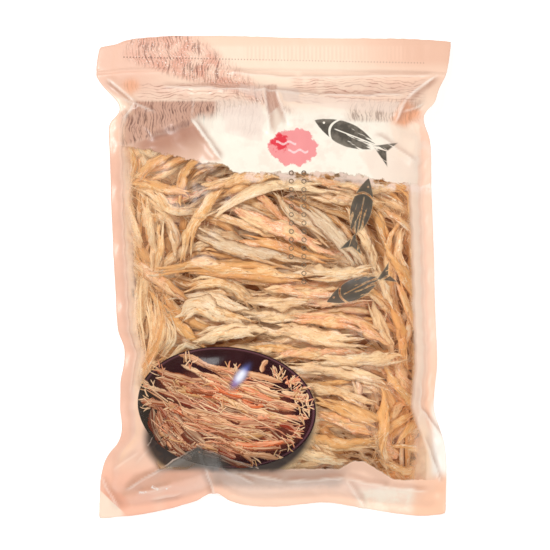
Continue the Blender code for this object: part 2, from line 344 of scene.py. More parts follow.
# The print: a translucent peach ink down the sides, denser over the header and the bottom, with
# a brushed lower edge over the clear window, hatched ink-wash shading, a ragged red spot, two
# dotted columns and a dotted tear line. It is printed inside the outer layer, so it is as glossy
# as the clear film.
PEACH = (248, 203, 177)
CREAM = (249, 220, 196)
PAPER = (251, 243, 227)
MAUVE_SHADE = (184, 134, 112)
HATCH = (112, 78, 66)
GREY_BROWN_SHADE = (186, 154, 135)
SPOT = (240, 148, 148)
SPOT_DARK = (226, 48, 66)
INK = (92, 76, 62)
BRUSH_INK = (70, 66, 58)
BOWL_PLACE, BOWL_REACH, BOWL_TILT = (-39.5, -107.7), (74.4, 50.7), math.radians(-5)
RING_PITCH = 6.9  # from one small ring of a column to the next
FISH_PRINTS = (((60, 119), -24, 29), ((72, 57), -104, 26), ((66, -10), 24, 25))  # place, turn, half length
# Small painted glints on the folds at the lower left: each a thin line and its half width.
SPARKLES = (
    ([(-113, -180.5), (-107, -180)], 1.2), ([(-102, -175), (-97, -177.5)], 1.5),
    ([(-90, -177), (-86, -175.5)], 1.1),
)

# Facets of folded film, painted light and shade of the folds with the print of both webs showing through:
# corners against the clock, the colour there and how strong it is.
FOLD_LIGHT_AND_SHADE_FACETS = (
    ([(-9, 161), (-5, 133), (4, 143), (2, 162)], (212, 170, 150), 0.85),
    ([(-5, 133), (0, 118), (9, 137), (4, 143)], (240, 218, 198), 0.8),
    ([(2, 160), (9, 147), (22, 146), (21, 158)], (226, 202, 188), 0.7),
    ([(22, 146), (58, 140), (100, 138), (106, 146), (60, 150), (22, 152)], (238, 214, 198), 0.6),
    ([(-30, 156), (-10, 148), (-9, 158), (-28, 163)], (232, 206, 192), 0.6),
    ([(-44, 140), (-40, 120), (-10, 112), (-8, 130), (-12, 146)], (244, 222, 208), 0.6),
    ([(70, 104), (84, 78), (116, 72), (122, 100), (98, 108)], (248, 226, 208), 0.6),
    ([(96, 128), (104, 100), (122, 102), (122, 128), (108, 134)], (252, 226, 204), 0.75),
)


def turned(x, y, place, turn):
    """Wires for a place in plan seen from another one, along and across a turned line."""
    along = (x - place[0]) * math.cos(turn) + (y - place[1]) * math.sin(turn)
    return along, (y - place[1]) * math.cos(turn) - (x - place[0]) * math.sin(turn)


def past(x, y, x0, y0, x1, y1, soft=1.2):
    """1 to the left of the line from one place to another, and 0 to its right."""
    run = math.hypot(x1 - x0, y1 - y0)
    return ((y - y0) * ((x1 - x0) / run) - (x - x0) * ((y1 - y0) / run)).ramp(-soft, soft)


def facet(x, y, corners, soft=1.6):
    """1 inside a flat facet between folds, its corners given against the clock."""
    inside = None
    for (x0, y0), (x1, y1) in zip(corners, corners[1:] + corners[:1]):
        side = past(x, y, x0, y0, x1, y1, soft)
        inside = side if inside is None else inside * side
    return inside


def thin_line(x, y, corners, half):
    """1 along a thin line from corner to corner."""
    drawn = None
    for (x0, y0), (x1, y1) in zip(corners, corners[1:]):
        run = math.hypot(x1 - x0, y1 - y0)
        along, across = turned(x, y, (x0, y0), math.atan2(y1 - y0, x1 - x0))
        stretch = across.size().ramp(half, half * 0.4) * along.within(0, run, 0.6)
        drawn = stretch if drawn is None else drawn.most(stretch)
    return drawn


def oval(x, y, place, reach, turn):
    """0 in the middle of an oval and 1 on its edge, squared."""
    along, across = turned(x, y, place, turn)
    return (along / reach[0]) ** 2 + (across / reach[1]) ** 2


def brushed_fish(x, y, place, turn, size):
    """1 where a simple fish in dry brush strokes is printed: a spindle and a forked tail."""
    along, across = turned(x, y, place, turn)
    u, v = along / size, across / size
    dry = cloudy(joined(u * 1.4, v * 9 + turn), 1.0, 2.0, 0.6)
    body = (v.size() - 0.34 * (1 - u * u) - 0.05 * (dry - 0.5)).ramp(0.015, -0.015)
    body = body * u.size().ramp(1.0, 0.97)
    tail = (v.size() - 0.62 * (u - 0.84)).ramp(0.02, -0.02) * (u - 0.5 * v.size()).ramp(1.28, 1.22)
    gill = (u + 0.5 - 1.6 * v * v).size().ramp(0.022, 0.045)
    eye = (((u + 0.72) ** 2) + (v - 0.045) ** 2).ramp(0.0008, 0.0016)
    back = (v - 0.02 - 0.05 * u).size().ramp(0.008, 0.024).most(u.ramp(-0.3, -0.4))
    return (body * gill * eye * back * (dry + 0.2 * u).ramp(0.7, 0.6)).most(tail * dry.ramp(0.66, 0.56))


class Print:
    """What the steps of the print share: places on the film, noises, and the wires made so far."""

    def __init__(self, start):
        self.x, self.y = plan_of(start)
        self.edge_at, self.is_front, self.crest_at, self.shade_at = (
            kept_by(start, name, 2) for name in ("edge", "front", "crest", "shade")
        )
        self.place = joined(self.x, self.y)
        self.broad = cloudy(self.place, 0.02, 2.0)
        self.rag = cloudy(self.place, 0.16, 4.0, 0.62)
        self.blotches = cloudy(self.place, 0.07, 3.0, 0.6)
        self.grain = cloudy(self.place, 0.9, 1.0)
        self.bent_x = self.x + 4 * (self.rag - 0.5)
        self.bent_y = self.y + 4 * (cloudy(joined(self.x, self.y, 40.0), 0.1, 3.0) - 0.5)


def lay_ink(ink):
    """Where ink lies: bands down the welds, the torn edge over the window, the folded edge below it."""
    x, y, edge_at = ink.x, ink.y, ink.edge_at
    broad, rag, blotches = ink.broad, ink.rag, ink.blotches
    frayed_edge = edge_at + 7 * (rag - 0.5)
    left_haze = x.ramp(0, -60) * frayed_edge.ramp(23, 12.5) * (0.35 + 0.5 * broad)
    right_haze = x.ramp(0, 60) * edge_at.ramp(23, 15) * (0.8 + 0.4 * broad)
    low_right = x.ramp(106, 128) * y.ramp(-100, -150) * (0.3 + 0.6 * blotches)
    haze = left_haze.most(right_haze).most(low_right).least(0.85)
    sides = (0.92 * edge_at.ramp(11.5, 9.5)).most(haze)
    low_left = past(x, y, -96, -160, -116, -70, 3.0) * y.ramp(-70, -100) * 0.92
    torn = y - 86.0 - 8 * x.ramp(-30, -46) - 14 * x.ramp(-46, -125) + 9 * x.ramp(50, 115) - 10 * (rag - 0.5)
    mist = torn.ramp(-11, -2) * (blotches + 0.3 * (rag - 0.5)).ramp(0.4, 0.56) * x.ramp(-36, -20)
    top = torn.ramp(-0.6, 1.4).most(0.7 * mist)
    folded_edge = 159 - 7 * x.within(67, 72, 15) + 10 * x.ramp(82, 104) - 6 * x.within(-63, -60, 9)
    below = y + folded_edge + 3.5 * (rag - 0.5)
    bottom = below.ramp(0.8, -1.0)
    header = y.ramp(140, 166)
    ink.cover = (0.9 * top).most(0.96 * header).most(0.93 * bottom).most(sides).most(low_left)
    ink.veil = (0.12 * x.ramp(-66, -112)).most(0.04 * x.ramp(76, 108)) * (0.5 + broad)
    ink.left_haze, ink.low_right, ink.low_left = left_haze, low_right, low_left
    ink.top, ink.header, ink.torn, ink.mist, ink.below = top, header, torn, mist, below


def tint_ink(ink):
    """The ink's own colour, paler and darker by place."""
    x, y, edge_at, broad = ink.x, ink.y, ink.edge_at, ink.broad
    top, header = ink.top, ink.header
    left_haze, low_left, low_right = ink.left_haze, ink.low_left, ink.low_right
    colour = painted(ink.grain, 1.0, CREAM)
    colour.coat(top * y.ramp(150, 132) * x.ramp(-70, -30), PAPER)
    colour.coat(x.ramp(70, 125) * 0.7, (246, 216, 192))
    colour.coat(edge_at.ramp(12.5, 10) * y.ramp(150, 130), PEACH)
    colour.coat(edge_at.within(8.6, 10.4, 0.8) * y.ramp(135, 115) * 0.5, CREAM)
    tint = (0.75 + 0.6 * (broad - 0.5)) * edge_at.ramp(14, 6) * y.ramp(130, 90)
    colour.coat(tint * x.ramp(0, -60), (233, 184, 160))
    colour.coat(tint * x.ramp(0, 60), (253, 212, 188))
    colour.coat(tint * x.ramp(0, 60) * y.ramp(-50, -110) * 0.8, (247, 194, 160))
    colour.coat(low_left * y.ramp(-80, -120) * 0.8, (240, 192, 168))
    colour.coat(left_haze * edge_at.ramp(11, 14) * 0.9, (252, 206, 166))
    colour.coat(low_right * edge_at.ramp(9, 14), (255, 220, 182))
    # a painted highlight along the right weld at the lower right
    colour.coat(x.ramp(128, 136) * y.within(-160, -112, 14) * 0.9, (255, 250, 240))
    colour.coat(y.ramp(193, 197) * 0.8, (249, 208, 182))
    colour.coat(header * x.ramp(-60, -120) * 0.85, (234, 187, 164))
    colour.coat(header * x.ramp(40, 125) * (0.55 + 0.45 * y.ramp(174, 184)), (234, 188, 162))
    colour.coat(top * ink.blotches.ramp(0.46, 0.62) * y.within(90, 140, 6) * 0.45, (240, 220, 204))
    ink.colour = colour


def draw_wall(ink):
    """The wash of a wooden wall and a ridge: wavy upright strokes, broken up, and lines that lie down."""
    x, y, blotches, colour = ink.x, ink.y, ink.blotches, ink.colour
    sway = cloudy(joined(x * 0.016, y * 0.04), 1.0, 2.0)
    breaks = cloudy(joined(x * 0.5, y * 0.13), 1.0, 3.0, 0.62)
    stroke = (((x + 30 * sway) / 2.9).part() - 0.5).size() - 0.9 * (breaks - 0.5)
    flecks = cloudy(joined(x * 0.5 + 7 * sway, y * 0.055), 1.0, 3.0, 0.7)
    strokes = (stroke.ramp(0.16, -0.04) * 0.6).most(flecks.ramp(0.53, 0.6))
    speck = cloudy(ink.place, 0.75, 2.0).ramp(0.6, 0.7)
    wash_top = past(x, y, -132, 186, -33, 153, 4.0) * past(x, y, -14, 160, -72, 207, 7.0)
    wash_top = wash_top * x.ramp(-134, -112)
    wash_left = x.within(-114, -52, 9) * y.within(121, 146, 3) * past(x, y, -52, 124, -44, 150, 4.0)
    wash_left = wash_left.most(facet(x, y, [(-126, 108), (-96, 116), (-96, 132), (-126, 138)], 5.0))
    wash_middle = x.within(-44, -16, 9) * y.within(122, 146, 7)
    wash_right = x.within(66, 116, 9) * y.within(132, 147, 4)
    colour.coat(wash_top * (0.4 + 0.6 * blotches.ramp(0.4, 0.62)), (228, 170, 146))
    colour.coat(wash_left * 0.9, (200, 152, 130))
    colour.coat(wash_middle * 0.45, (222, 196, 184))
    colour.coat(wash_right * 0.5, (224, 190, 168))
    colour.coat(wash_top * strokes * (0.5 + 0.6 * blotches), (140, 96, 82))
    colour.coat((wash_top + wash_middle) * speck * 0.85, (255, 242, 230))
    hatched = wash_left * (0.5 + 0.7 * blotches) + 0.3 * wash_middle + 0.55 * wash_right
    colour.coat((hatched * strokes).least(0.9), HATCH)
    hills = cloudy(joined(x * 0.022, y * 0.03), 1.0, 3.0, 0.55)
    gone = cloudy(joined(x * 0.06, y * 0.45), 1.0, 3.0, 0.65)
    ridges = (((y + 26 * hills) / 2.7).part() - 0.5).size() - 0.9 * (gone - 0.5)
    ridges = ridges.ramp(0.2, 0.0) * (0.5 + 0.6 * blotches.ramp(0.42, 0.6))
    lying = x.within(24, 116, 14) * y.within(148, 166, 4)
    lying = lying.most(x.within(-108, -24, 9) * y.within(150, 161, 3))
    colour.coat(lying * (0.15 + 0.5 * blotches.ramp(0.42, 0.6)), (236, 194, 172))
    colour.coat(lying * ridges * 0.75, (176, 126, 108))
    ribs = (x / 3.4).part().within(0.3, 0.6, 0.2) * x.within(-20, 106, 8) * y.within(184, 194, 2)
    colour.coat(ribs * (0.2 + 0.5 * breaks), PEACH)
    ink.strokes = strokes


def tint_facets(ink):
    """Facets where the film is folded over: painted light and shade of the folds, with the print of both
    webs showing through.
    """
    x, y, bent_x, bent_y = ink.x, ink.y, ink.bent_x, ink.bent_y
    broad, blotches, strokes, colour = ink.broad, ink.blotches, ink.strokes, ink.colour
    # The left facet of the V fold: a painted shade, mauve, over the print's own wash there.
    mauve_shade_facet = facet(bent_x, bent_y, [(-128, 84), (-44, 97), (-69, 130), (-102, 117), (-122, 112)], 2.0)
    colour.coat(mauve_shade_facet * (0.5 + 0.7 * broad).least(1.0) * x.ramp(-132, -104), (226, 184, 160))
    colour.coat(mauve_shade_facet * past(x, y, -122, 90, -62, 111, 12.0) * x.ramp(-128, -104), MAUVE_SHADE)
    # a painted shadow along the lower edge of the fold, under the hatching
    painted_shadow_line = facet(bent_x, bent_y, [(-104, 113), (-72, 124), (-69, 131), (-100, 121)], 2.5)
    colour.coat(painted_shadow_line * 0.55, (140, 102, 90))
    # painted light: the facet right of the V fold, lit bright
    painted_light_facet = past(bent_x, bent_y, -47, 151, -69, 131, 3.0) * past(bent_x, bent_y, -69, 131, -44, 97, 0.8)
    colour.coat(painted_light_facet * x.ramp(-10, -45) * y.ramp(140, 128) * 0.8, (254, 246, 230))
    for corners, tone, strength in FOLD_LIGHT_AND_SHADE_FACETS:
        colour.coat(facet(bent_x, bent_y, corners, 1.4) * strength, tone)
    wedge = facet(bent_x, bent_y, [(-9, 161), (-5, 133), (4, 143), (2, 162)], 1.0)
    colour.coat(wedge * strokes * 0.5, (170, 124, 106))
    # The gathers at both ends of the neck: a painted shade, orange-brown, with the print's hatching over
    # it.
    shaded_neck = facet(bent_x, bent_y, [(109, 148), (98, 130), (110, 125), (124, 138)], 4.0)
    shaded_neck = shaded_neck.most(0.8 * facet(bent_x, bent_y, [(-128, 164), (-122, 152), (-112, 160), (-118, 168)], 4.0))
    colour.coat(shaded_neck * (0.75 + 0.4 * blotches), (242, 172, 132))
    colour.coat(shaded_neck * strokes * 0.25, HATCH)


def tint_foot(ink):
    """The band along the bottom, with the folds that run into its corners, painted shade on those folds and
    a painted highlight at the lower right.
    """
    x, y, bent_x, bent_y = ink.x, ink.y, ink.bent_x, ink.bent_y
    below, is_front, blotches, colour = ink.below, ink.is_front, ink.blotches, ink.colour
    low = (below.ramp(1, -2) * x.ramp(-106, -88)).most(below.ramp(12, -12) * x.ramp(-88, -106))
    colour.coat(low, (254, 212, 186))
    colour.coat(low * x.ramp(-20, -90), (249, 192, 165))
    # painted shade of the heap, seen through the film where it slopes down to the bottom band
    colour.coat(low * x.within(-46, 50, 18) * below.within(-12, 0, 9) * 0.85 * is_front, GREY_BROWN_SHADE)
    # painted shade under a ridge of the fold at the bottom right
    colour.coat(low * x.within(52, 92, 12) * below.within(-5, 0, 7) * 0.5, (214, 172, 148))
    # painted shade on the drape of film folded into the lower left corner
    corners = [(-134, -188), (-96, -177), (-72, -170), (-54, -163), (-56, -153), (-90, -157), (-116, -164)]
    drape_shade = facet(bent_x, bent_y, corners, 4.0)
    colour.coat(drape_shade * (0.4 + 0.5 * blotches), (214, 158, 130))
    colour.coat(oval(x, y, (-133, -187), (12, 7), -0.6).ramp(1.6, 0.2) * 0.8, (241, 172, 142))
    corner = y.ramp(-150, -185) * past(x, y, -150, -176, -131, -194.5, 0.8).ramp(1, 0) * x.ramp(-124, -131)
    colour.coat(corner, (253, 227, 204))
    # a painted highlight where the film catches the light at the lower right
    cream = bent_x.within(80, 112, 16) * bent_y.within(-194, -180, 7)
    colour.coat(cream * (0.4 + 0.6 * blotches.ramp(0.35, 0.6)), (255, 238, 216))
    colour.coat(x.within(122, 142, 9) * y.ramp(-160, -178) * 0.8, (254, 200, 166))


def tint_film(ink):
    """Faint gold where the film is clear, pink in the mist, a painted shade on the steep side of each fold
    and a painted highlight along its crest, partly the film's whitening there.
    """
    blotches, colour = ink.blotches, ink.colour
    colour.coat(ink.cover.ramp(0.4, 0.15), (255, 220, 170))
    colour.coat(ink.mist * ink.torn.ramp(0.6, -0.6), (255, 228, 212))
    ink.cover = ink.cover.most(ink.veil)
    # a painted shade on the steep side of each fold, then a painted highlight along each crest
    colour.coat((ink.shade_at * (0.25 + 0.6 * blotches)).least(0.7), (180, 130, 108))
    colour.coat((ink.crest_at * (0.1 + 0.9 * blotches)).least(0.8), (255, 244, 232))


def draw_marks(ink):
    """The tear line, the red spot, the columns of rings and the fish. Returns how well they cover."""
    x, y, rag, is_front, blotches, colour = ink.x, ink.y, ink.rag, ink.is_front, ink.blotches, ink.colour
    tear = (y - 183 + 0.02 * x).size().ramp(0.7, 0.4) * (x / 2.6).part().within(0.3, 0.55, 0.12)
    tear = tear * x.within(-128, 126, 0.5) * (1 - 0.55 * x.ramp(-110, 20))
    blot = (((x - 16) / 19.5) ** 2 + ((y - 108) / 15.5) ** 2 + 1.5 * (rag - 0.5)).ramp(1.08, 0.92)
    blot_dark = blot * (((x - 5) / 6.5) ** 2 + ((y - 112) / 7.5) ** 2 + 5 * (rag - 0.5)).ramp(1.3, 0.5)
    dot = ((y / RING_PITCH).part() - 0.5) * RING_PITCH
    columns = []
    for foot, column_x in ((14, 14.2), (-7, 24.6)):
        beside = y.within(foot, 90, 1) * (x - column_x).size() + (1 - y.within(foot, 90, 1)) * 99
        columns.append(((beside**2 + dot**2) - 3.0).size().ramp(2.0, 1.0))
    dots = columns[0].most(columns[1])
    colour.coat(tear * is_front * 0.8, HATCH)
    colour.coat(blot * is_front, SPOT)
    colour.coat(blot_dark * is_front, SPOT_DARK)
    ripples = []
    for height, wave, begin in ((111.5, 1.6, 2), (104.5, 1.5, 12)):
        line = (y - height - 1.1 * (x / wave).maths("SINE", x / wave)).size().ramp(1.3, 0.6)
        ripples.append(line * x.within(begin, begin + 16, 0.6))
    colour.coat(ripples[0].most(ripples[1]) * is_front * (0.55 + 0.6 * (ink.grain - 0.5)), (255, 240, 238))
    colour.coat(dots * is_front, INK)
    fish = [brushed_fish(x, y, place, math.radians(turn), size) for place, turn, size in FISH_PRINTS]
    fish = fish[0].most(fish[1]).most(fish[2])
    colour.coat(fish * is_front, BRUSH_INK)
    colour.coat(fish * is_front * blotches.ramp(0.42, 0.6) * y.ramp(60, 110) * 0.8, (122, 114, 102))
    return (0.93 * blot).most(0.75 * dots).most(0.9 * tear).most(0.88 * fish)


def shade_bowl(ink, marks):
    """The shadow printed round the bowl, the haze of the fold that crosses it, a painted highlight along
    that fold, a painted glint on its crest and small painted glints at the lower left.
    """
    x, y, bent_x, bent_y, rag = ink.x, ink.y, ink.bent_x, ink.bent_y, ink.rag
    below, is_front, colour = ink.below, ink.is_front, ink.colour
    beneath_bowl = (oval(x, y, (-53, -119), (59, 39), 0.5) + 0.2 * (ink.broad - 0.5)).ramp(1.15, 0.8)
    beneath_bowl = beneath_bowl.most(oval(x, y, (-35, -116), (68, 53), -0.05).ramp(1.2, 0.9))
    beneath_bowl = beneath_bowl * (0.04 + 0.96 * (below + 3 * x.within(-60, 20, 9)).ramp(-3, 4))
    colour.coat(beneath_bowl * is_front, (50, 40, 36))
    off_bowl = 1 - is_front * oval(x, y, BOWL_PLACE, BOWL_REACH, BOWL_TILT).ramp(1.0, 0.985)
    front_marks = marks.most(0.93 * beneath_bowl)
    cover = (ink.cover.most(front_marks * is_front).least(1.0) * off_bowl).most(0.006)
    hazed = past(bent_x, bent_y, -95, -159, -63, -139.5, 1.0).ramp(1, 0)
    hazed = hazed * past(bent_x, bent_y, -63, -139.5, -13, -161, 1.0).ramp(1, 0)
    hazed = hazed * x.ramp(-26, -52) * y.ramp(-164, -156)
    colour.coat(hazed * is_front, (106, 97, 88))
    corners = [(-124, -178), (-95, -159), (-63, -139), (-45, -147), (-13, -159)]
    # a painted highlight along the fold that crosses the bowl, and along a shorter one
    crease_highlight = thin_line(bent_x, bent_y, corners, 0.8)
    crease_highlight = crease_highlight * (0.3 + 0.7 * y.ramp(-165, -152)) * rag.ramp(0.3, 0.5)
    crease_highlight = crease_highlight.most(0.5 * thin_line(bent_x, bent_y, [(-105, -140), (-98, -128), (-88, -114)], 0.6))
    colour.coat(crease_highlight * is_front * 0.7, (206, 182, 166))
    # a painted glint where the crest of a fold over the bowl catches the lamp
    along, across = turned(x, y, (-27.5, -81), math.radians(53))
    glint = (across.size() + 0.12 * along.size()).ramp(7.5, 0.5) * along.size().ramp(19, 3) * is_front
    colour.coat(glint, (120, 130, 216))
    colour.coat(glint * along.ramp(-2, -9), (164, 126, 190))
    colour.coat(glint * along.size().ramp(9, 2), (240, 242, 255))
    cover = cover.most(0.6 * hazed * is_front).most(0.85 * glint).most(0.5 * crease_highlight * is_front)
    # the painted highlight along each crest shows on the clear film too
    ink.cover = cover.most((ink.crest_at * 0.35).least(0.5))
    # small painted glints on the folds at the lower left
    sparkles = [thin_line(bent_x, bent_y, corners, half) for corners, half in SPARKLES]
    sparkle = sparkles[0].most(sparkles[1]).most(sparkles[2])
    colour.coat(sparkle * rag.ramp(0.42, 0.6) * is_front * 0.8, (255, 252, 246))


def film_material():
    """Clear film, and the print on it as one coat of colour after another."""
    material, start = new_material("printed_film")
    ink = Print(start)
    for step in (lay_ink, tint_ink, draw_wall, tint_facets, tint_foot, tint_film):
        step(ink)
    shade_bowl(ink, draw_marks(ink))
    bump_at = cloudy(joined(ink.x, ink.y * 0.7), 0.09, 3.0, 0.55)
    bumped = bump_from(bump_at, 0.3, 0.001)
    look = {"Base Color": ink.colour, "Roughness": 0.4, "Specular IOR Level": 0.3, "Normal": bumped}
    print_shader = principled(look)
    clear = start.node("ShaderNodeBsdfTransparent", {}, {"Color": (0.985, 0.972, 0.95, 1)})
    shine = {"Color": (1, 1, 1, 1), "Roughness": 0.2, "Normal": bumped}
    gloss = start.node("ShaderNodeBsdfGlossy", {}, shine)
    sheen = start.node("ShaderNodeLayerWeight", {}, {"Blend": 0.16, "Normal": bumped}, 0)
    printed = start.node("ShaderNodeMixShader", {}, {0: ink.cover, 1: clear, 2: print_shader})
    shown = start.node("ShaderNodeMixShader", {}, {0: sheen, 1: printed, 2: gloss})
    return finish_material(material, shown)


film.data.materials.clear()
film.data.materials.append(film_material())
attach(film, "root")
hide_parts("pouch")

# The picture on the film: a dark lacquered bowl piled with the same shreds, printed on the inside
# of the outer layer at the lower left. It is flat: each shape is a thin patch just under the
# film's face, and a later one lies nearer to it. A strip is (width, ink, x, y and so on along it).
PICTURE_STRIPS = (
    (5.4, "t", -79, -64, -68, -66, -59, -71, -47, -75, -36, -76),
    (7, "b", -98, -76, -89, -80, -78, -83, -64, -86),
    (5.6, "c", -77, -72, -63, -78, -52, -86, -40, -90, -33, -98, -25, -105),
    (6.5, "t", -59, -71, -45, -76, -30, -78, -18, -80, -7, -83, 7, -86),
    (7, "o", -30, -90, -19, -94, -8, -100, 4, -103), (3.4, "c", -108, -88, -100, -92, -89, -94),
    (7, "b", -111, -103, -102, -104, -88, -105),
    (6.4, "g", -83, -93, -70, -95, -54, -98, -36, -103, -21, -112),
    (4.6, "r", -82, -100, -70, -104, -56, -107, -38, -112),
    (5.8, "t", -86, -103, -76, -109, -59, -115, -42, -121, -25, -126, -8, -126),
    (5.6, "p", -54, -109, -40, -113, -25, -116, -9, -115, 7, -115, 29, -116),
    (13, "d", -87, -112, -79, -121, -68, -131, -56, -139),
    (8, "d", -98, -112, -93, -126, -81, -137, -68, -143),
    (6.6, "t", -78, -110, -63, -119, -47, -131, -33, -139, -21, -150, -16, -155),
    (5.6, "g", -45, -130, -29, -131, -13, -130, -2, -127),
    (8, "o", -40, -135, -25, -139, -8, -139, 9, -135), (5.6, "t", -25, -146, -11, -147, 4, -150),
    (6.4, "r", 4, -121, 13, -123, 22, -132), (4.6, "c", 6, -94, 15, -96, 24, -95),
    (4.4, "p", 9, -87, 16, -85, 22, -84), (1.5, "c", 27, -97, 28, -105, 29, -115),
    (2.2, "c", -1, -72, 1, -79, 7, -85), (4.4, "t", -10, -78, -9, -72, -5, -68),
    (6, "d", -63, -144, -47, -148, -30, -155, -18, -156),
    (6.6, "c", -33, -103, -19, -110, -7, -112, -2, -116), (6.6, "c", -16, -88, -4, -94, 5, -97),
    (5.6, "d", -99, -139, -89, -145, -79, -147), (7, "t", -7, -105, 7, -107, 21, -105),
    (9, "b", -63, -119, -47, -126, -29, -135), (9, "b", -79, -86, -63, -92, -47, -95),
    (8, "o", -54, -87, -40, -94, -25, -98), (8, "b", -29, -121, -16, -121, 1, -122),
    (9, "d", -101, -108, -99, -124, -90, -140), (8, "b", -96, -110, -90, -126, -78, -143),
    (8, "d", -91, -130, -82, -142, -68, -151), (5, "t", -98, -114, -94, -128, -85, -141),
    (8, "b", -89, -112, -80, -127, -66, -142), (4, "t", -85, -117, -74, -131, -60, -141),
)
# Frayed ends: the place, the way the fibres point in degrees, and how many of them there are.
TUFTS = (
    (18, -96, 20, 9), (20, -101, -10, 9), (14, -88, 50, 7), (4, -82, 70, 6), (22, -112, -20, 5),
    (10, -131, -30, 7), (16, -127, 10, 5), (-104, -91, 160, 6), (-104, -103, 185, 6), (-92, -79, 140, 5),
    (-72, -71, 110, 5), (-33, -78, 70, 4), (-82, -93, 150, 6), (-81, -106, 170, 6), (-44, -110, 100, 3),
    (-20, -153, -40, 4), (4, -148, -10, 4), (-88, -146, 220, 3), (26, -104, 60, 4),
)
PICTURE_INKS = {
    "t": srgb(206, 150, 110), "b": srgb(162, 92, 60), "c": srgb(236, 200, 162), "g": srgb(212, 164, 108),
    "o": srgb(218, 112, 64), "r": srgb(146, 48, 30), "p": srgb(222, 142, 106), "d": srgb(114, 68, 52),
}
film_tree = BVHTree.FromObject(film, bpy.context.evaluated_depsgraph_get())
picture_draw = random.Random(21)


def onto_film(flat, depth):
    """Places in plan, put a depth under the film's outer face."""
    down = Vector((0, 0, -1))
    heights = [film_tree.ray_cast(Vector((x, y, 200)) * MM, down)[0].z / MM for x, y in flat]
    return np.column_stack([flat, np.array(heights) - depth])


def curve_through(points, step=1.5):
    """Points a step apart along a smooth curve through a few given ones."""
    points = np.array(points, float)
    points = np.concatenate([2 * points[:1] - points[1:2], points, 2 * points[-1:] - points[-2:-1]])
    fine = []
    for a, b, c, d in zip(points[:-3], points[1:-2], points[2:-1], points[3:]):
        t = np.linspace(0, 1, 16, endpoint=False)[:, None]
        squared, cubed = 2 * a - 5 * b + 4 * c - d, 3 * b - a - 3 * c + d
        fine.append(0.5 * (2 * b + (c - a) * t + squared * t**2 + cubed * t**3))
    fine = np.concatenate(fine + [points[-2:-1]])
    walked = np.concatenate([[0], np.cumsum(np.hypot(*np.diff(fine, axis=0).T))])
    stops = np.linspace(0, walked[-1], max(int(walked[-1] / step), 6))
    return np.stack([np.interp(stops, walked, fine[:, k]) for k in (0, 1)], axis=1)


def along_line(line, at):
    """A line's places at shares of its length."""
    stops = np.linspace(0, 1, len(line))
    return np.stack([np.interp(at, stops, line[:, k]) for k in range(line.shape[1])], axis=1)


def laid_copies(name, template, places, facts):
    """One object of many copies of a template, each with its own places and facts."""
    bm = bmesh.new()
    for _ in places:
        bm.from_mesh(template)
    mesh = mesh_of(bm, name)
    put_places(mesh, np.maximum(np.concatenate(places), (-1e9, -1e9, 0.25)))
    for fact, values in facts.items():
        kept = mesh.attributes.new(fact, "FLOAT_VECTOR", "POINT")
        kept.data.foreach_set("vector", np.concatenate(values).astype(np.float32).ravel())
    mesh.shade_smooth()
    piece = piece_of(name, mesh)
    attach(piece, "root")
    return piece


def flat_grid(long, wide):
    """A flat patch to bend, with each corner's share along it and place across it, -1 to 1."""
    bm = bmesh.new()
    bmesh.ops.create_grid(bm, x_segments=long, y_segments=wide, size=1.0)
    mesh = mesh_of(bm, "patch")
    at = np.array([v.co[:] for v in mesh.vertices])
    return mesh, at[:, 0] / 2 + 0.5, at[:, 1]


STRIP = flat_grid(20, 2)
strip_places, strip_grain, strip_shape, strip_ink = [], [], [], []


def picture_strip(points, width, ink, depth):
    """A printed strip of fish: a ribbon of ink with a waist and narrow ends."""
    _, share, across = STRIP
    line = curve_through(points, 1.0)
    ahead = along_line(np.gradient(line, axis=0), share)
    ahead /= np.hypot(*ahead.T)[:, None]
    seed = picture_draw.uniform(0, 9)
    pointed = (1 - np.abs(2 * share - 1) ** 3.5) ** 0.7
    half = width / 2 * pointed * (1 + 0.16 * np.sin(11 * share + seed * 7)) + 0.15
    aside = np.stack([-ahead[:, 1], ahead[:, 0]], axis=1)
    flat = along_line(line, share) + aside * (across * half)[:, None]
    length = np.hypot(*np.diff(line, axis=0).T).sum()
    strip_places.append(onto_film(flat, depth))
    strip_grain.append(np.stack([share * length, across * half, np.full(len(share), seed * 9)], axis=1))
    strip_shape.append(np.stack([share, across, np.full(len(share), seed)], axis=1))
    strip_ink.append(np.tile(PICTURE_INKS[ink][:3], (len(share), 1)))


DEPTHS = 0.34, 0.1  # of the lowest printed strip and of the highest one that there could be
PRINTED_MOST = 500
depths = iter(np.linspace(*DEPTHS, PRINTED_MOST))


def scattered_strips(count, middle, spread, way, fan, halves, bend, inks, widths):
    """Strips strewn over an oval, which run one way and turn down by fan degrees at its left."""
    for _ in range(count):
        turn, far = picture_draw.uniform(0, 6.28), math.sqrt(picture_draw.random())
        at = np.array((middle[0] + spread * far * math.cos(turn), middle[1] + 33 * far * math.sin(turn)))
        heading = math.radians(picture_draw.gauss(*way) - fan * max(0, (-60 - at[0]) / 40))
        half_run = picture_draw.uniform(*halves) * np.array((math.cos(heading), math.sin(heading)))
        bow = picture_draw.gauss(0, bend) * np.array((-math.sin(heading), math.cos(heading)))
        ink = picture_draw.choice(inks)
        width = picture_draw.uniform(*widths)
        picture_strip((at - half_run, at + bow, at + half_run), width, ink, next(depths))


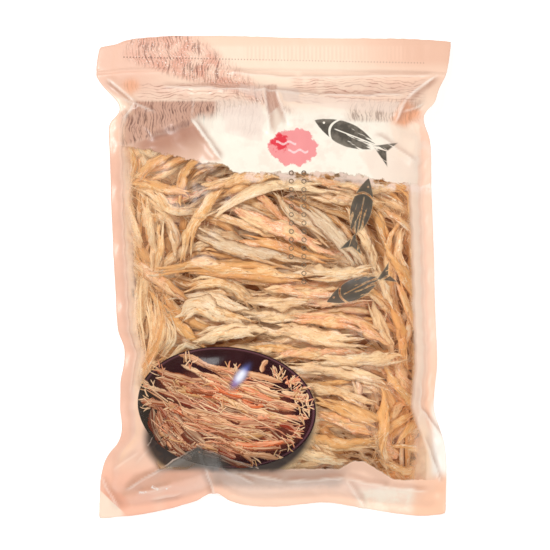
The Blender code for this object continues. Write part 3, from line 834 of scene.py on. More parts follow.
scattered_strips(90, (-45, -113), 54, (-19, 12), 0, (9, 22), 2, "tbtgorrbd", (3, 7))
for width, ink, *given in PICTURE_STRIPS:
    picture_strip(np.array(given, float).reshape(-1, 2), width, ink, next(depths))
scattered_strips(120, (-42, -111), 58, (-17, 9), 26, (6, 17), 2.2, "ccgtpp", (0.5, 1.3))
for x, y, way, count in TUFTS:
    for _ in range(2 * count):
        heading, curl = math.radians(way + picture_draw.gauss(0, 34)), picture_draw.gauss(0, 0.22)
        hair = [np.array((x + picture_draw.gauss(0, 2.5), y + picture_draw.gauss(0, 2.5)))]
        for _ in range(3):
            step = picture_draw.uniform(1.4, 3.4)
            hair.append(hair[-1] + step * np.array((math.cos(heading), math.sin(heading))))
            heading += curl
        picture_strip(hair, picture_draw.uniform(0.5, 1.2), picture_draw.choice("ccgp"), next(depths))

disc_mesh, disc_u, disc_v = flat_grid(60, 42)
disc_u = disc_u * 2 - 1
round_x, round_y = disc_u * np.sqrt(1 - disc_v**2 / 2), disc_v * np.sqrt(1 - disc_u**2 / 2)
bowl_along, bowl_across = BOWL_REACH[0] * round_x, BOWL_REACH[1] * round_y
bowl_x = BOWL_PLACE[0] + bowl_along * math.cos(BOWL_TILT) - bowl_across * math.sin(BOWL_TILT)
bowl_y = BOWL_PLACE[1] + bowl_along * math.sin(BOWL_TILT) + bowl_across * math.cos(BOWL_TILT)
BOWL_DEPTH = 0.37
disc_places = onto_film(np.stack([bowl_x, bowl_y], axis=1), BOWL_DEPTH)
disc = laid_copies("printed_bowl", disc_mesh, [disc_places], {})
strips = laid_copies(
    "printed_strips", STRIP[0], strip_places, {"grain": strip_grain, "shape": strip_shape, "ink": strip_ink}
)


def bowl_material():
    """Aubergine lacquer, lit along the rim and greyer where it faces the light."""
    material, start = new_material("printed_bowl")
    x, y = plan_of(start)
    out_from_middle = oval(x, y, BOWL_PLACE, BOWL_REACH, BOWL_TILT) ** 0.5
    wash = cloudy(joined(x, y), 0.05, 3.0)
    colour = painted(wash, 1.0, (56, 26, 30))
    colour.coat(wash.ramp(0.4, 0.7) * 0.6, (38, 16, 20))
    heap = (oval(x, y, (-41, -113), (63, 34), math.radians(-12)) + 1.2 * (wash - 0.5)).ramp(1.1, 0.75)
    colour.coat(heap * (0.35 + 0.9 * wash).least(1.0), (112, 58, 44))
    rim = out_from_middle.ramp(0.95, 0.97)
    colour.coat(rim * 0.75, (112, 72, 82))
    colour.coat(out_from_middle.ramp(0.975, 0.988), (44, 22, 26))
    colour.coat((x + 0.9 * y).ramp(-166, -200) * 0.95, (58, 51, 44))
    look = {"Base Color": colour, "Roughness": 0.6, "Specular IOR Level": 0.0}
    return finish_material(material, principled(look))


def strips_material():
    """Fields of ink with a fibrous streak, darker along the sides and ragged at the edge."""
    material, start = new_material("printed_strips")
    grain = kept_by(start, "grain", 1)
    shape = kept_by(start, "shape", 1)
    ink = kept_by(start, "ink", 0)
    across = shape.axis(1)
    streak = cloudy(stretched(grain, (0.05, 0.95, 1)), 1.0, 5.0, 0.62, 0.4)
    rough_edge = cloudy(stretched(grain, (0.5, 0.3, 1)), 1.0, 4.0, 0.6)
    colour = painted(ink, streak.ramp(0.5, 0.38) * 0.7, (146, 68, 42))
    colour.coat(streak.ramp(0.5, 0.62) * 0.6, (246, 214, 178))
    colour.coat(across.within(0.3, 0.6, 0.3) * 0.3, (248, 212, 174))
    colour.coat(across.ramp(-0.2, -0.9) * 0.7, (104, 44, 32))
    cover = (across.size() + 1.1 * (rough_edge - 0.5)).ramp(0.98, 0.84)
    clear = start.node("ShaderNodeBsdfTransparent", {}, {})
    printed = principled({"Base Color": colour, "Roughness": 0.6, "Specular IOR Level": 0.0})
    shown = start.node("ShaderNodeMixShader", {}, {0: cover, 1: clear, 2: printed})
    return finish_material(material, shown)


disc.data.materials.append(bowl_material())
strips.data.materials.append(strips_material())

# The shreds: strips torn by hand along the grain of freeze-dried pollock, each two or three
# bundles of fibre with split, hairy ends. The longest lie just under the film and push it out;
# the rest are laid beneath them, each as high as the ones before it and the film allow, and short
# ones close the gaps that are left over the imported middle.
# Each is (width, tone, x, y and so on along it): c cream, g golden, p salmon. A capital letter
# is for one that has come apart into many thin strands.
LEAD_SHREDS = (
    (7, "g", -122, 109, -118, 94, -121, 82), (9, "g", -112, 82, -97, 97, -78, 106),
    (9, "c", -119, 90, -123, 68, -116, 44, -109, 20), (8, "g", -76, 66, -75, 85, -62, 97),
    (9, "c", -118, 79, -100, 71, -85, 55, -66, 56), (6, "p", -95, 63, -78, 64, -61, 71),
    (9, "g", -109, 78, -90, 73, -78, 70), (12, "g", -73, 14, -69, 39, -57, 59, -44, 75),
    (11, "c", -57, 75, -38, 79, -16, 86, 1, 82), (9, "g", -44, 70, -23, 75, -6, 81),
    (11, "c", -49, 51, -31, 63, -11, 73, 13, 76, 46, 73), (8, "p", -11, 66, 1, 54, 15, 42),
    (13, "p", -35, 59, -14, 47, 12, 37, 44, 23), (9, "c", 3, 66, 13, 52, 31, 44, 48, 33),
    (12, "c", 25, 58, 46, 39, 67, 14), (9, "c", -54, 52, -35, 47, -14, 40, 13, 33),
    (10, "g", -25, 32, -4, 28, 20, 20, 41, 14), (13, "c", -64, 37, -45, 28, -18, 20, 12, 13),
    (9, "c", -38, 32, -14, 23, 12, 18, 38, 14), (10, "c", -95, 51, -85, 44, -81, 27),
    (9, "c", -106, 61, -102, 40, -99, 14), (8, "g", -94, 39, -94, 25, -98, 9),
    (10, "c", -95, 6, -81, 18, -59, 27), (11, "p", -125, 20, -104, 6, -78, -17),
    (15, "g", -92, 4, -66, 8, -31, 6, 20, 2), (12, "c", 20, 4, 46, 2, 72, 4),
    (10, "p", -28, -1, 3, -5, 46, -11), (11, "c", -71, -8, -52, -3, -31, -8, -18, -23),
    (9, "p", 31, 83, 48, 77, 72, 73), (11, "c", 38, 70, 55, 66, 82, 59),
    (9, "c", 63, 51, 75, 33, 81, 20), (10, "c", 60, 28, 70, 16, 74, 6),
    (9, "c", 81, 16, 88, -1, 94, -18), (6, "p", 96, 54, 107, 45, 117, 35),
    (8, "g", 101, 77, 112, 71, 113, 59), (9, "g", 94, 23, 107, 2, 120, -18),
    (8, "g", 113, 33, 117, 13, 120, -8), (8, "c", 105, 35, 103, 23, 107, 13),
    (10, "c", -78, -19, -57, -16, -25, -26), (15, "c", -75, -30, -66, -24, -45, -31, -28, -37),
    (10, "c", -21, -18, -4, -21, 20, -21), (10, "p", 0, -9, 20, -11, 48, -12),
    (10, "p", 20, -18, 46, -19, 72, -16), (11, "c", -21, -31, 3, -33, 31, -30),
    (13, "c", -62, -52, -38, -45, -11, -45), (13, "c", -14, -42, 12, -43, 38, -50, 63, -52),
    (13, "p", 20, -35, 48, -35, 72, -40, 91, -52), (9, "g", -14, -59, 0, -59, 13, -62),
    (10, "p", 7, -66, 29, -63, 55, -61, 72, -64), (14, "c", 44, -66, 72, -69, 98, -66),
    (12, "c", 15, -76, 46, -76, 72, -81, 89, -87), (10, "c", 27, -90, 55, -95, 74, -104),
    (12, "g", 38, -102, 55, -107, 84, -121), (12, "p", 39, -114, 55, -119, 75, -125),
    (12, "g", 31, -130, 55, -138, 75, -137), (12, "c", 20, -145, 38, -149, 58, -152),
    (11, "g", 89, -99, 91, -119, 88, -140), (10, "g", 94, -80, 103, -92, 119, -106),
    (7, "g", 89, -130, 105, -119, 119, -112), (6, "g", 103, -138, 113, -125, 124, -116),
    (9, "c", 81, -126, 89, -140, 91, -154), (6, "g", 103, -140, 122, -145, 117, -162),
    (8, "g", 94, -154, 107, -161, 119, -162), (9, "g", 103, -2, 110, -23, 120, -45),
    (9, "g", 98, -25, 105, -45, 107, -66), (7, "c", 115, -11, 113, -37, 107, -59),
    (7, "p", 129, -43, 122, -61, 119, -78), (9, "g", -99, -18, -83, -35, -62, -56),
    (12, "G", -94, -25, -94, -47, -106, -71), (12, "C", -102, -28, -100, -50, -107, -75),
    (11, "C", -112, -9, -114, -33, -111, -59), (11, "G", -118, -30, -116, -49, -109, -68),
    (10, "C", -90, -35, -85, -49, -94, -62), (12, "c", -78, -71, -52, -75, -25, -71),
    (12, "c", -92, -92, -62, -87, -31, -88), (11, "g", -28, -81, -4, -87, 20, -92),
    (11, "c", -104, -99, -94, -116, -90, -137), (12, "p", -78, -106, -49, -104, -18, -109),
    (13, "c", -83, -123, -52, -121, -25, -126), (11, "g", -18, -102, 3, -109, 25, -112),
    (12, "c", -25, -126, -4, -123, 20, -128), (11, "g", -78, -140, -49, -138, -25, -144),
    (10, "c", -14, -144, 1, -140, 17, -133), (10, "g", -102, -123, -107, -144, -104, -157),
)
CELL = 1.0  # the room left for shreds is kept on a grid of this size
RISE_MOST = 1.21  # a shred climbs no steeper than this
LEAN_MOST = 1.3  # and leans to one side no more than this
CLEARANCE = 0.5  # between the film and a shred when it is laid
FILM_FREE = 0.2  # between the film and any corner of a shred
UNDER_PICTURE = 1.2  # and this much more where the bowl is printed
CORE_FOOT, CORE_TOP = 0.13, 0.46  # the shares of the height between which no short shred is laid
STRIDE = 6.0  # the length in which a shred follows the lay
CONTENT_LOW, CONTENT_HIGH = -176, 118  # where the heap ends, below and above
TUCKED = 9.0  # how far a lead shred goes on, thinning, past the part that shows
draw = random.Random(7)


def room_under(tree):
    """The film's underside seen from above, and from below, on a grid of cells."""
    columns, rows = int(2 * HALF_WIDTH / CELL) + 1, int(2 * HALF_LENGTH / CELL) + 1
    over = np.zeros((columns, rows))
    under = np.zeros((columns, rows))
    for i in range(columns):
        for j in range(rows):
            x, y = (i * CELL - HALF_WIDTH) * MM, (j * CELL - HALF_LENGTH) * MM
            hit = tree.ray_cast(Vector((x, y, 0.2)), Vector((0, 0, -1)))[0]
            if hit:
                over[i, j] = hit.z / MM
                under[i, j] = tree.ray_cast(Vector((x, y, -0.1)), Vector((0, 0, 1)))[0].z / MM
    return over, under


film_top, film_under = room_under(film_tree)


def around(grid):
    """A grid and its eight copies moved by one cell, for a look at each cell's neighbours."""
    return [np.roll(grid, (i, j), (0, 1)) for i in (-1, 0, 1) for j in (-1, 0, 1)]


film_low = np.min(around(film_top), axis=0)
film_middle = (film_top + film_under) / 2
film_middle = np.where(film_middle > 0, film_middle, np.max(around(film_middle), axis=0))
cell_x = np.arange(film_top.shape[0])[:, None] * CELL - HALF_WIDTH - BOWL_PLACE[0]
cell_y = np.arange(film_top.shape[1])[None, :] * CELL - HALF_LENGTH - BOWL_PLACE[1]
film_low -= UNDER_PICTURE * ((cell_x / (BOWL_REACH[0] + 3)) ** 2 + (cell_y / (BOWL_REACH[1] + 3)) ** 2 < 1)
film_high = np.max(around(film_under), axis=0)


def cell_of(x, y):
    """The cells that places in plan lie in."""
    i = np.clip(np.round((x + HALF_WIDTH) / CELL).astype(int), 0, film_top.shape[0] - 1)
    j = np.clip(np.round((y + HALF_LENGTH) / CELL).astype(int), 0, film_top.shape[1] - 1)
    return i, j


def smoothed(values, reach):
    """Each value averaged with its neighbours, reach of them to each side, the ends held."""
    if reach < 1:
        return values
    padded = np.pad(values, [(reach, reach)] + [(0, 0)] * (values.ndim - 1), mode="edge")
    weights = np.hanning(2 * reach + 3)[1:-1]
    weights /= weights.sum()
    return sum(w * padded[k : k + len(values)] for k, w in enumerate(weights))


lay_places, lay_turns = [], []
for _, _, *given in LEAD_SHREDS:
    run = curve_through(list(zip(given[::2], given[1::2])), STRIDE)
    lay_places.append((run[1:] + run[:-1]) / 2)
    lay_turns.append(np.arctan2(*(run[1:] - run[:-1]).T[::-1]))
lay_places, lay_turns = np.concatenate(lay_places), np.concatenate(lay_turns)


def lay_at(x, y):
    """The way the nearest lead shreds run."""
    near = 1 / (np.hypot(lay_places[:, 0] - x, lay_places[:, 1] - y) ** 2 + 60) ** 2
    return 0.5 * math.atan2((near * np.sin(2 * lay_turns)).sum(), (near * np.cos(2 * lay_turns)).sum())


class Room:
    """The space still free under the film, or over it when the pouch is seen from below."""

    def __init__(self, ceiling, ground):
        self.ceiling, self.free, self.ground = ceiling, ceiling - CLEARANCE, ground + CLEARANCE
        self.too_tight = np.zeros(ceiling.shape, bool)
        self.rest_on = None

    def lay(self, run, width, thickness):
        """Presses a shred up into the room and returns its middle line, lean and length kept."""
        ahead = np.gradient(run, axis=0)
        ahead /= np.maximum(np.hypot(*ahead.T), 1e-6)[:, None]
        left = np.stack([-ahead[:, 1], ahead[:, 0]], axis=1)
        offsets = np.linspace(-0.45, 0.45, 7) * width
        sampled = np.stack([self.free[cell_of(*(run + left * o).T)] for o in offsets], axis=1)
        film_over = np.stack([self.ceiling[cell_of(*(run + left * o).T)] for o in offsets], axis=1)
        lean = np.clip((film_over @ offsets) / (offsets @ offsets), -LEAN_MOST, LEAN_MOST)
        lean = smoothed(lean, 5)
        limit = (sampled - lean[:, None] * offsets).min(axis=1)
        if self.rest_on is not None:
            lowest = self.rest_on[cell_of(*run.T)] + thickness
            highest = (film_over - lean[:, None] * offsets).min(axis=1) - 0.7
            limit = np.maximum(limit, np.minimum(lowest, highest))
        step = np.hypot(*np.diff(run, axis=0).T).mean()
        top = limit.copy()
        for k in range(1, len(top)):
            top[k] = min(top[k], top[k - 1] + RISE_MOST * step)
        for k in range(len(top) - 2, -1, -1):
            top[k] = min(top[k], top[k + 1] + RISE_MOST * step)
        top = np.minimum(smoothed(top, 4), limit + 0.4)
        middle = top - thickness / 2
        kept = middle - thickness / 2 > self.ground[cell_of(*run.T)]
        aside = np.linspace(-0.5, 0.5, int(width / CELL) + 2) * width
        covered = run[kept, None] + left[kept, None] * aside[:, None]
        rounded = np.sqrt(np.maximum(1 - (2 * aside / width) ** 2, 0.1))
        below = middle[kept, None] + lean[kept, None] * aside - thickness / 2 * rounded
        np.minimum.at(self.free, cell_of(covered[..., 0], covered[..., 1]), below)
        return middle, lean, left, kept


def longest_run(kept):
    """The start and end of the longest stretch that is kept."""
    best, start = (0, 0), None
    for k, good in enumerate(list(kept) + [False]):
        if good and start is None:
            start = k
        if not good and start is not None:
            if k - start > best[1] - best[0]:
                best = (start, k)
            start = None
    return best


def tube(rings, around):
    """A closed tube of unit size whose rings can be moved, its ends shut by a fan."""
    bm = bmesh.new()
    bmesh.ops.create_cone(
        bm, cap_ends=True, cap_tris=True, segments=around, radius1=1.0, radius2=1.0, depth=1.0
    )
    upright = [e for e in bm.edges if abs(e.verts[0].co.z - e.verts[1].co.z) > 0.5]
    bmesh.ops.subdivide_edges(bm, edges=upright, cuts=rings - 2, use_grid_fill=True)
    mesh = mesh_of(bm, "tube")
    at = np.array([v.co[:] for v in mesh.vertices])
    return mesh, at[:, 2] + 0.5, np.arctan2(at[:, 1], at[:, 0]), np.hypot(at[:, 0], at[:, 1])


def strand(shape, line, across, span, offset, halves, roll, seed):
    """One bundle of fibre along a shred: it rolls with the shred, swells, sways and ends in a point."""
    _, share, angle, radius = shape
    half_width, half_thickness = halves
    at = span[0] + (span[1] - span[0]) * share
    inside = np.clip(at, 0, 1)
    centre = along_line(line, inside)
    ahead = along_line(np.gradient(line, axis=0), inside)
    ahead /= np.linalg.norm(ahead, axis=1)[:, None]
    side = along_line(across, inside)
    side -= ahead * (side * ahead).sum(axis=1)[:, None]
    side /= np.linalg.norm(side, axis=1)[:, None]
    up = np.cross(ahead, side)
    up *= np.sign(up[:, 2:3] + 1e-9)
    length = np.linalg.norm(np.diff(line, axis=0), axis=1).sum()
    centre += ahead * ((at - inside) * length)[:, None]
    turn = roll[0] * np.sin(roll[1] + roll[2] * at)
    open_ends = 1 + 0.7 * np.clip(np.abs(at - 0.5) * 2 - 0.55, 0, 1)
    sway = half_width * (0.34 * np.sin(6.3 * at + seed * 5) + 0.22 * np.sin(15 * at + seed * 11))
    sway += half_width * 0.14 * np.sin(31 * at + seed * 23)
    swell = 1 + 0.16 * np.sin(9 * at + seed * 3) + 0.12 * np.sin(21 * at + seed * 8)
    swell += 0.12 * np.sin(44 * at + seed * 17 + 2 * np.sin(13 * at))
    flute = 1 + 0.14 * np.sin(3 * angle + seed * 9 + 3 * at) + 0.08 * np.sin(5 * angle - seed * 7 - 5 * at)
    tip = np.clip(np.minimum(share, 1 - share) / 0.3, 0, 1)
    taper = (0.06 + 0.94 * tip**0.8) * swell * flute * radius
    a = half_width * np.cos(angle) * taper + offset * open_ends + sway
    b = half_thickness * np.sin(angle) * taper
    wide = a * np.cos(turn) - b * np.sin(turn) * 0.8
    high = a * np.sin(turn) * 0.5 + b * np.cos(turn)
    places = centre + side * wide[:, None] + up * high[:, None]
    grain = np.stack([at * length, a + seed * 13, b + seed * 40], axis=1)
    return places, grain


FULL_TUBE = tube(34, 7)
SPLIT_TUBE = tube(14, 5)
PLAIN_TUBE = tube(12, 5)
SLIM_TUBE = tube(12, 4)
SHORT_TUBE = tube(9, 4)
HAIR_TUBE = tube(6, 3)
TONES = {"c": (0.15, -0.05), "g": (0.72, 0.1), "p": (0.3, 0.8)}


class Kind:
    """Strands that share a template: where each one's corners lie, its grain and its tone."""

    def __init__(self, template):
        self.template = template
        self.places, self.grain, self.tone = [], [], []

    def add(self, places, grain, tone):
        i, j = cell_of(places[:, 0], places[:, 1])
        middle = film_middle[i, j]
        floor = np.minimum(film_high[i, j] + FILM_FREE, middle)
        places[:, 2] = np.clip(places[:, 2], floor, np.maximum(film_low[i, j] - FILM_FREE, middle))
        self.places.append(places)
        self.grain.append(grain)
        self.tone.append(tone)


lead, split = Kind(FULL_TUBE), Kind(SPLIT_TUBE)
under, deeper, thin, floor_side = Kind(PLAIN_TUBE), Kind(SLIM_TUBE), Kind(SLIM_TUBE), Kind(PLAIN_TUBE)
short, short_floor, loose = Kind(SHORT_TUBE), Kind(SHORT_TUBE), Kind(HAIR_TUBE)


def add_hairs(line, across, width, thickness, tone, count):
    """Loose fibres that leave a shred, most of them near its ends."""
    length = np.linalg.norm(np.diff(line, axis=0), axis=1).sum()
    for _ in range(count):
        at_end = draw.random() < 0.6
        near_end = draw.triangular(0, 0.22, 0)
        at = (near_end if draw.random() < 0.5 else 1 - near_end) if at_end else draw.random()
        root = along_line(line, np.array([at]))[0]
        ahead = along_line(np.gradient(line, axis=0), np.array([at]))[0]
        ahead /= np.linalg.norm(ahead)
        if at < 0.5:
            ahead = -ahead
        side = along_line(across, np.array([at]))[0] * draw.choice((-1, 1))
        reach = draw.triangular(4, 22, 9) if at_end else draw.triangular(3, 11, 5)
        fan = draw.uniform(0.05, 0.6) if at_end else draw.uniform(0.1, 0.5)
        curl = draw.gauss(0, 0.5)
        s = np.linspace(0, 1, 6)
        out = side * fan + ahead
        hair = root + side * (width * draw.uniform(0.1, 0.42)) + np.outer(s * reach, out)
        hair += np.outer(s**2 * reach * curl, side) - np.outer(s**2 * reach * 0.12, (0, 0, 1))
        hair[:, 2] += thickness * draw.uniform(-0.1, 0.42)
        i, j = cell_of(hair[:, 0], hair[:, 1])
        hair[:, 2] = np.minimum(hair[:, 2], film_low[i, j] - 0.35)
        if (film_top[i, j] < 2).any() or (hair[:, 2] < film_high[i, j] + 0.3).any():
            continue
        _, share, angle, radius = HAIR_TUBE
        centre = along_line(hair, share)
        thickness_here = draw.uniform(0.22, 0.42) * (1 - 0.8 * share) * radius
        sideways = np.cross(out, (0, 0, 1.0))
        sideways /= np.linalg.norm(sideways)
        places = centre + np.outer(thickness_here * np.cos(angle), sideways)
        places += np.outer(thickness_here * np.sin(angle), (0, 0, 1))
        grain = np.stack([share * length, thickness_here, thickness_here + at * 50], axis=1)
        loose.add(places, grain, np.tile((tone[0] * 0.5, tone[1] * 0.6, 1.05), (len(places), 1)))


def make_shred(body, splits, line, across, width, thickness, tone, strands, hairs, flip=False, deep=0.0):
    """Adds a shred's body, the strands that split off along it and its hairs to their kinds."""
    gold, pink = TONES[tone.lower()]
    frayed = tone.isupper()
    # The third number is how light the shred is: random, and lower by deep, a painted shade on shreds laid
    # deeper.
    look = (gold + draw.gauss(0, 0.14), pink + draw.gauss(0, 0.2), draw.uniform(0.82, 1.04) - deep)
    roll = (draw.uniform(0.2, 0.8), draw.uniform(0, 6.3), draw.uniform(2, 5))
    for k in range(3 * strands if frayed else strands):
        kind = splits if frayed or k else body
        if frayed:
            half_width = width * draw.uniform(0.07, 0.14)
            offset = width * draw.uniform(-0.45, 0.45)
            start = draw.uniform(-0.05, 0.3)
            span = (start, min(start + draw.uniform(0.55, 1), 1.05))
            half_thickness = thickness * draw.uniform(0.16, 0.26)
            lift = thickness * draw.uniform(-0.3, 0.24)
        elif k == 0:
            half_width = width * draw.uniform(0.38, 0.46)
            offset = width * draw.gauss(0, 0.04)
            lift = 0.0
            span = (draw.uniform(0, 0.08), 1 - draw.uniform(0, 0.08))
            half_thickness = thickness * 0.46
        else:
            half_width = width * draw.uniform(0.14, 0.24)
            offset = width * (0.3 if k % 2 else -0.3) * draw.uniform(0.5, 1.15)
            start = draw.uniform(-0.05, 0.35)
            span = (start, min(start + draw.uniform(0.5, 1), 1.04))
            half_thickness = thickness * draw.uniform(0.24, 0.36)
            lift = thickness * draw.uniform(-0.1, 0.24)
        middle = line + (0, 0, -lift if flip else lift)
        halves, seed = (half_width, half_thickness), draw.uniform(0, 9)
        places, grain = strand(kind.template, middle, across, span, offset, halves, roll, seed)
        varied = np.array(look) + (draw.gauss(0, 0.14), draw.gauss(0, 0.1), draw.gauss(0, 0.04))
        strand_look = np.tile(varied, (len(places), 1))
        # painted light: each strand paler on top and darker on its sides and underside
        upward = np.sin(kind.template[2]) * (-1 if flip else 1)
        strand_look[:, 2] += 0.16 * np.clip(upward - 0.5, -0.8, 1)
        kind.add(places, grain, strand_look)
    add_hairs(line, across, width, thickness, look, hairs)


def settle(room, run, width, thickness, flip=False):
    """A shred's middle line in space where it fits the room, and its sideways direction."""
    middle, lean, left, kept = room.lay(run, width, thickness)
    start, end = longest_run(kept)
    if end - start < 8:
        return None
    line = np.column_stack([run, -middle if flip else middle])[start:end]
    across = np.column_stack([left, -lean if flip else lean])[start:end]
    line[:, 2] = smoothed(line[:, 2], 2)
    return line, across / np.linalg.norm(across, axis=1)[:, None]


room = Room(film_low, film_under)
for width, tone, *given in sorted(LEAD_SHREDS, key=lambda s: -s[0] + draw.uniform(-3, 3)):
    points = np.array(given, float).reshape(-1, 2)
    points[0] += (points[0] - points[1]) * (TUCKED / math.dist(points[0], points[1]))
    points[-1] += (points[-1] - points[-2]) * (TUCKED / math.dist(points[-1], points[-2]))
    thickness = 2.2 + 0.26 * width
    placed = settle(room, curve_through(points), width, thickness)
    if placed:
        make_shred(lead, split, *placed, width, thickness, tone, min(2 + int(width / 4), 5), 16)


def traced(x, y, reach, turn, bend, least, upright):
    """A run grown both ways from a point, up the pouch or following the lay."""
    halves = []
    for way in (-1, 1):
        px, py, heading, half = x, y, math.pi / 2 if upright else lay_at(x, y), []
        for k in range(int(reach / 2 / STRIDE)):
            if not upright:
                heading += 0.6 * math.asin(math.sin(lay_at(px, py) - heading))
            angle = heading + turn + way * bend * k
            px, py = px + way * STRIDE * math.cos(angle), py + way * STRIDE * math.sin(angle)
            i, j = cell_of(np.array(px), np.array(py))
            if film_top[i, j] - film_under[i, j] < least:
                break
            half.append((px, py))
        halves.append(half)
    return halves[0][::-1] + [(x, y)] + halves[1]


CONTENT_TOP = ((-150, 118), (-85, 114), (-45, 108), (-37, 102), (10, 95), (40, 97), (78, 92), (150, 88))


def emptiest(room, tries, least, span):
    """The least covered of a few places among the shreds."""
    best, most = None, -1e9
    for _ in range(tries):
        x, y = draw.uniform(*span), draw.uniform(CONTENT_LOW, CONTENT_HIGH)
        if y > np.interp(x, *zip(*CONTENT_TOP)) - 4:
            continue
        i, j = cell_of(np.array(x), np.array(y))
        if film_top[i, j] - film_under[i, j] < least or room.too_tight[i, j]:
            continue
        left_open = room.free[i, j] - room.ceiling[i, j]
        if left_open > most:
            best, most = (x, y), left_open
    return best


def fill_room(
    room, kind, count, flip, hairs, deep, widths=(5, 14, 8.5), plump=1.0, least=8.0,
    reaches=(46, 130, 80), span=(-130, 130), upright=False, tries=14,
):
    """Lays shreds one by one where the heap is least covered."""
    room.too_tight[:] = False
    for _ in range(count):
        at = emptiest(room, tries, least, span)
        if at is None:
            continue
        reach, turn = draw.triangular(*reaches), math.radians(draw.gauss(0, 17))
        points = traced(*at, reach, turn * 0.3 if upright else turn, draw.gauss(0, 0.03), least, upright)
        width = draw.triangular(*widths)
        thickness = plump * (2.2 + 0.26 * width)
        placed = len(points) >= 4 and settle(room, curve_through(points), width, thickness, flip)
        if not placed:
            i, j = cell_of(*np.array(at))
            room.too_tight[i - 2 : i + 3, j - 2 : j + 3] = True
        else:
            tone = draw.choices("cgp", (0.2, 0.7, 0.1) if at[0] > 80 else (0.5, 0.35, 0.15))[0]
            strands = 3 if width > 9 else 2
            make_shred(kind, kind, *placed, width, thickness, tone, strands, hairs, flip, deep)


# The number after the hairs is deep: a painted shade that darkens shreds laid deeper.
fill_room(room, under, 320, False, 5, 0.04)
fill_room(room, deeper, 240, False, 0, 0.1)
fill_room(room, deeper, 240, False, 0, 0.06, (4, 9, 6), 0.55, 4.5)
fill_room(room, thin, 420, False, 3, 0.06, (3.5, 7, 5), 0.7, 4.5)
room.rest_on = film_under + CORE_TOP * (film_top - film_under)
fill_room(room, short, 110, False, 1, 0.06, (3, 6, 4), 0.4, 2.2, (50, 110, 70), (-137, -104), True)
fill_room(room, short, 90, False, 1, 0.08, (3, 6, 4), 0.4, 2.2, (50, 110, 70), (104, 137), True)
fill_room(room, short, 420, False, 1, 0.2, (3.5, 7, 5), 0.6, 3.0, (26, 60, 40), tries=40)
floor_room = Room(-film_high, -film_top)
fill_room(floor_room, floor_side, 190, True, 0, 0.0)
floor_room.rest_on = -film_under - CORE_FOOT * (film_top - film_under)
fill_room(floor_room, short_floor, 520, True, 0, 0.04, (4, 9, 6), 0.6, 3.0, (34, 90, 56), tries=40)


def fish_material():
    """Dry fish: cream to golden fibre, salmon in places, with painted shade in its grooves, on deeper
    shreds and on strands' undersides, painted highlights, and a faint painted glow that is stronger at the
    sides of the heap.
    """
    material, start = new_material("dried_fish")
    grain = kept_by(start, "grain", 1)
    tone = kept_by(start, "tone", 1)
    gold, pink, shade = (tone.axis(k) for k in range(3))
    x, y = plan_of(start)
    left_side, right_side = x.ramp(-70, -108), x.ramp(80, 104)
    low_right = x.ramp(10, 60) * y.ramp(-80, -120)
    # painted light: the shreds at the sides of the heap and at the lower right are shaded less
    shade = shade + 0.14 * left_side + 0.14 * right_side + 0.1 * low_right
    fibre = cloudy(stretched(grain, (0.16, 1.0, 1.0)), 1.0, 5.0, 0.6, 0.8)
    bundle = cloudy(stretched(grain, (0.08, 0.34, 0.34)), 1.0, 4.0, 0.55, 0.9)
    patch = cloudy(stretched(grain, (0.06, 0.12, 0.12)), 1.0, 3.0)
    fuzz = cloudy(grain, 0.9, 4.0, 0.7)
    colour = painted(fibre, 1.0, (247, 216, 172))
    colour.coat((0 - pink).ramp(0.05, 0.5) * 0.8, (228, 208, 180))
    colour.coat((gold + 1.6 * (bundle - 0.5) + 1.2 * (patch - 0.5)).ramp(0.15, 1.1), (240, 190, 124))
    colour.coat((pink * 1.1 * patch.ramp(0.36, 0.6)).least(0.85), (240, 166, 126))
    colour.coat((bundle + 0.3 * gold).ramp(0.6, 0.75) * 0.5, (222, 160, 98))
    colour.coat(right_side * 0.3, (232, 158, 84))
    # darker where the bump is low: a painted shade in the grooves, partly the fibre's own darker colour
    colour.coat(fibre.ramp(0.5, 0.3) * 0.5, (204, 132, 72))
    colour.coat(bundle.ramp(0.42, 0.26) * 0.8, (156, 86, 36))
    # painted highlights on the paler fibres, partly their own paler colour
    light = (fibre * 0.6 + fuzz * 0.4 + 0.7 * (patch - 0.5) - 0.1 * gold).ramp(0.46, 0.66)
    colour.coat(light * 0.75, (255, 241, 216))
    # painted shade: shreds laid deeper and the undersides of strands darker
    colour.coat((1.02 - shade) * 1.5, (140, 74, 28))
    # painted light: the shreds glow faintly in their own colour, more at the sides of the heap and the
    # lower right, standing in for light scattered in the fish and spread by the film
    painted_glow = painted(colour, 0.62 - 0.42 * left_side - 0.22 * right_side - 0.1 * low_right, (0, 0, 0, 1))
    height = 0.3 * fibre + bundle + 0.6 * patch + 0.25 * fuzz
    look = {"Base Color": colour, "Roughness": 0.66, "Specular IOR Level": 0.25}
    look["Normal"] = bump_from(height, 1.0, 0.0018)
    look.update({"Emission Color": painted_glow, "Emission Strength": 0.31})
    return finish_material(material, principled(look))


dried_fish = fish_material()
for name, kind in (
    ("shreds_under_the_film", lead),
    ("split_strands", split),
    ("shreds_beneath", under),
    ("shreds_deeper", deeper),
    ("thin_shreds", thin),
    ("short_shreds", short),
    ("shreds_on_the_back", floor_side),
    ("short_shreds_on_the_back", short_floor),
    ("loose_fibres", loose),
):
    piece = laid_copies(name, kind.template[0], kind.places, {"grain": kind.grain, "tone": kind.tone})
    piece.data.materials.append(dried_fish)

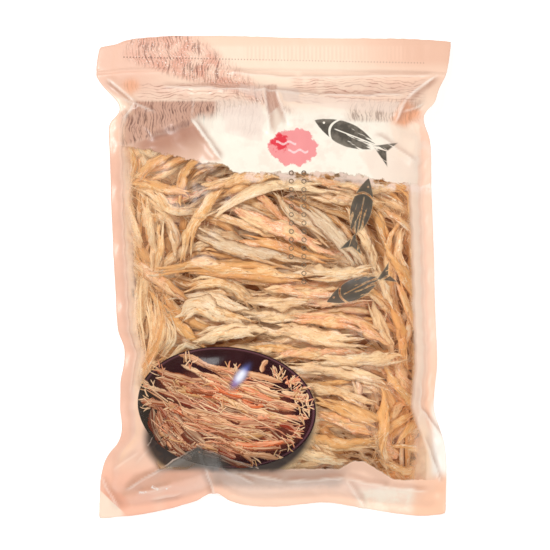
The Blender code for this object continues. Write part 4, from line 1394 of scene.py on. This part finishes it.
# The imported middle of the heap, which in the real pouch is more of the same shreds pressed close.
# It is one rounded block between the two films, and the shreds above and below it hide it.
WELD_KEPT = 14.0  # it comes no nearer to the edge of the pouch than this
CORE_MIDDLE, CORE_HALF = 0.29, 0.13  # shares of the height between the films
CORE_HALF_WIDTH, CORE_LOW = 124, -169
bm = bmesh.new()
bmesh.ops.create_icosphere(bm, subdivisions=5, radius=1.0)
for v in bm.verts:
    x, y, z = (math.copysign(abs(c) ** 0.13, c) for c in v.co)
    wave = 2.5 * noise.noise(Vector((x * 9, y * 12, z * 3)))
    px = x * CORE_HALF_WIDTH - 0.5
    highest = np.interp(px, *zip(*CONTENT_TOP)) - 5
    py = (highest + CORE_LOW) / 2 + y * (highest - CORE_LOW) / 2
    at_row = int(py + HALF_LENGTH) + 2
    px = min(max(px, left_line[at_row] + WELD_KEPT), right_line[at_row] - WELD_KEPT)
    i, j = cell_of(np.array(px), np.array(py))
    low, deep = film_under[i, j], film_top[i, j] - film_under[i, j]
    height = low + deep * (CORE_MIDDLE + z * CORE_HALF) + z * wave * min(deep / 30, 1)
    v.co = Vector((px, py, height)) * MM
core_mesh = mesh_of(bm, "packed_middle")
core_mesh.shade_smooth()
core = piece_of("packed_middle", core_mesh)
core_material, start = new_material("packed_fish")
streaks = cloudy(stretched(start, (60, 400, 200)), 1.0, 5.0, 0.6)
packed = painted(streaks, 1.0, (206, 146, 88))
packed.coat(streaks.ramp(0.6, 0.35), (150, 88, 42))
look = {"Base Color": packed, "Roughness": 0.8, "Normal": bump_from(streaks, 0.8, 0.002)}
core_mesh.materials.append(finish_material(core_material, principled(look)))
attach(core, "root")

# The table, the lamps and the camera, which looks straight down as the photograph does.
bm = bmesh.new()
bmesh.ops.create_grid(bm, x_segments=8, y_segments=8, size=3.0)
table_mesh = mesh_of(bm, "table")
table = piece_of("table", table_mesh)
table_material, start = new_material("white_table")
speckle = cloudy(start, 300.0, 2.0)
table_colour = painted(painted(speckle, 1.0, (0.72, 0.72, 0.72, 1)), speckle * 0.05, (0.6, 0.6, 0.6, 1))
look = {"Base Color": table_colour, "Roughness": 0.9}
look.update({"Emission Color": (1, 1, 1, 1), "Emission Strength": 0.5})
table_mesh.materials.append(finish_material(table_material, principled(look)))


def lamp(name, place, size, power):
    """A soft square lamp that faces the pouch."""
    light = bpy.data.lights.new(name, "AREA")
    light.shape = "SQUARE"
    light.size = size
    light.energy = power
    piece = piece_of(name, light)
    piece.location = place
    piece.rotation_euler = Vector(place).to_track_quat("Z", "Y").to_euler()
    return piece


lamp("key_lamp", (-1.4, 1.3, 3.2), 0.9, 82)
lamp("fill_lamp", (2.0, -1.2, 2.8), 1.4, 48)

world = bpy.data.worlds.new("studio")
bpy.context.scene.world = world
world.use_nodes = True
sky = world.node_tree.nodes["Background"].inputs
sky["Color"].default_value = (1, 1, 1, 1)
sky["Strength"].default_value = 0.4

camera_data = bpy.data.cameras.new("camera")
camera = piece_of("camera", camera_data)
CAMERA_HEIGHT = 2.4
POUCH_MIDDLE = 0.02  # the height at which the picture is as wide as FRAME_WIDTH
FRAME_WIDTH = 550 * 0.839 * MM  # the picture's dots and the millimetres that each one shows
camera.location = (0.0008, 0.0021, CAMERA_HEIGHT)
camera_data.sensor_width = 36
camera_data.lens = camera_data.sensor_width * (CAMERA_HEIGHT - POUCH_MIDDLE) / FRAME_WIDTH
camera_data.clip_end = 20
bpy.context.scene.camera = camera
bpy.context.scene.view_settings.view_transform = "Standard"
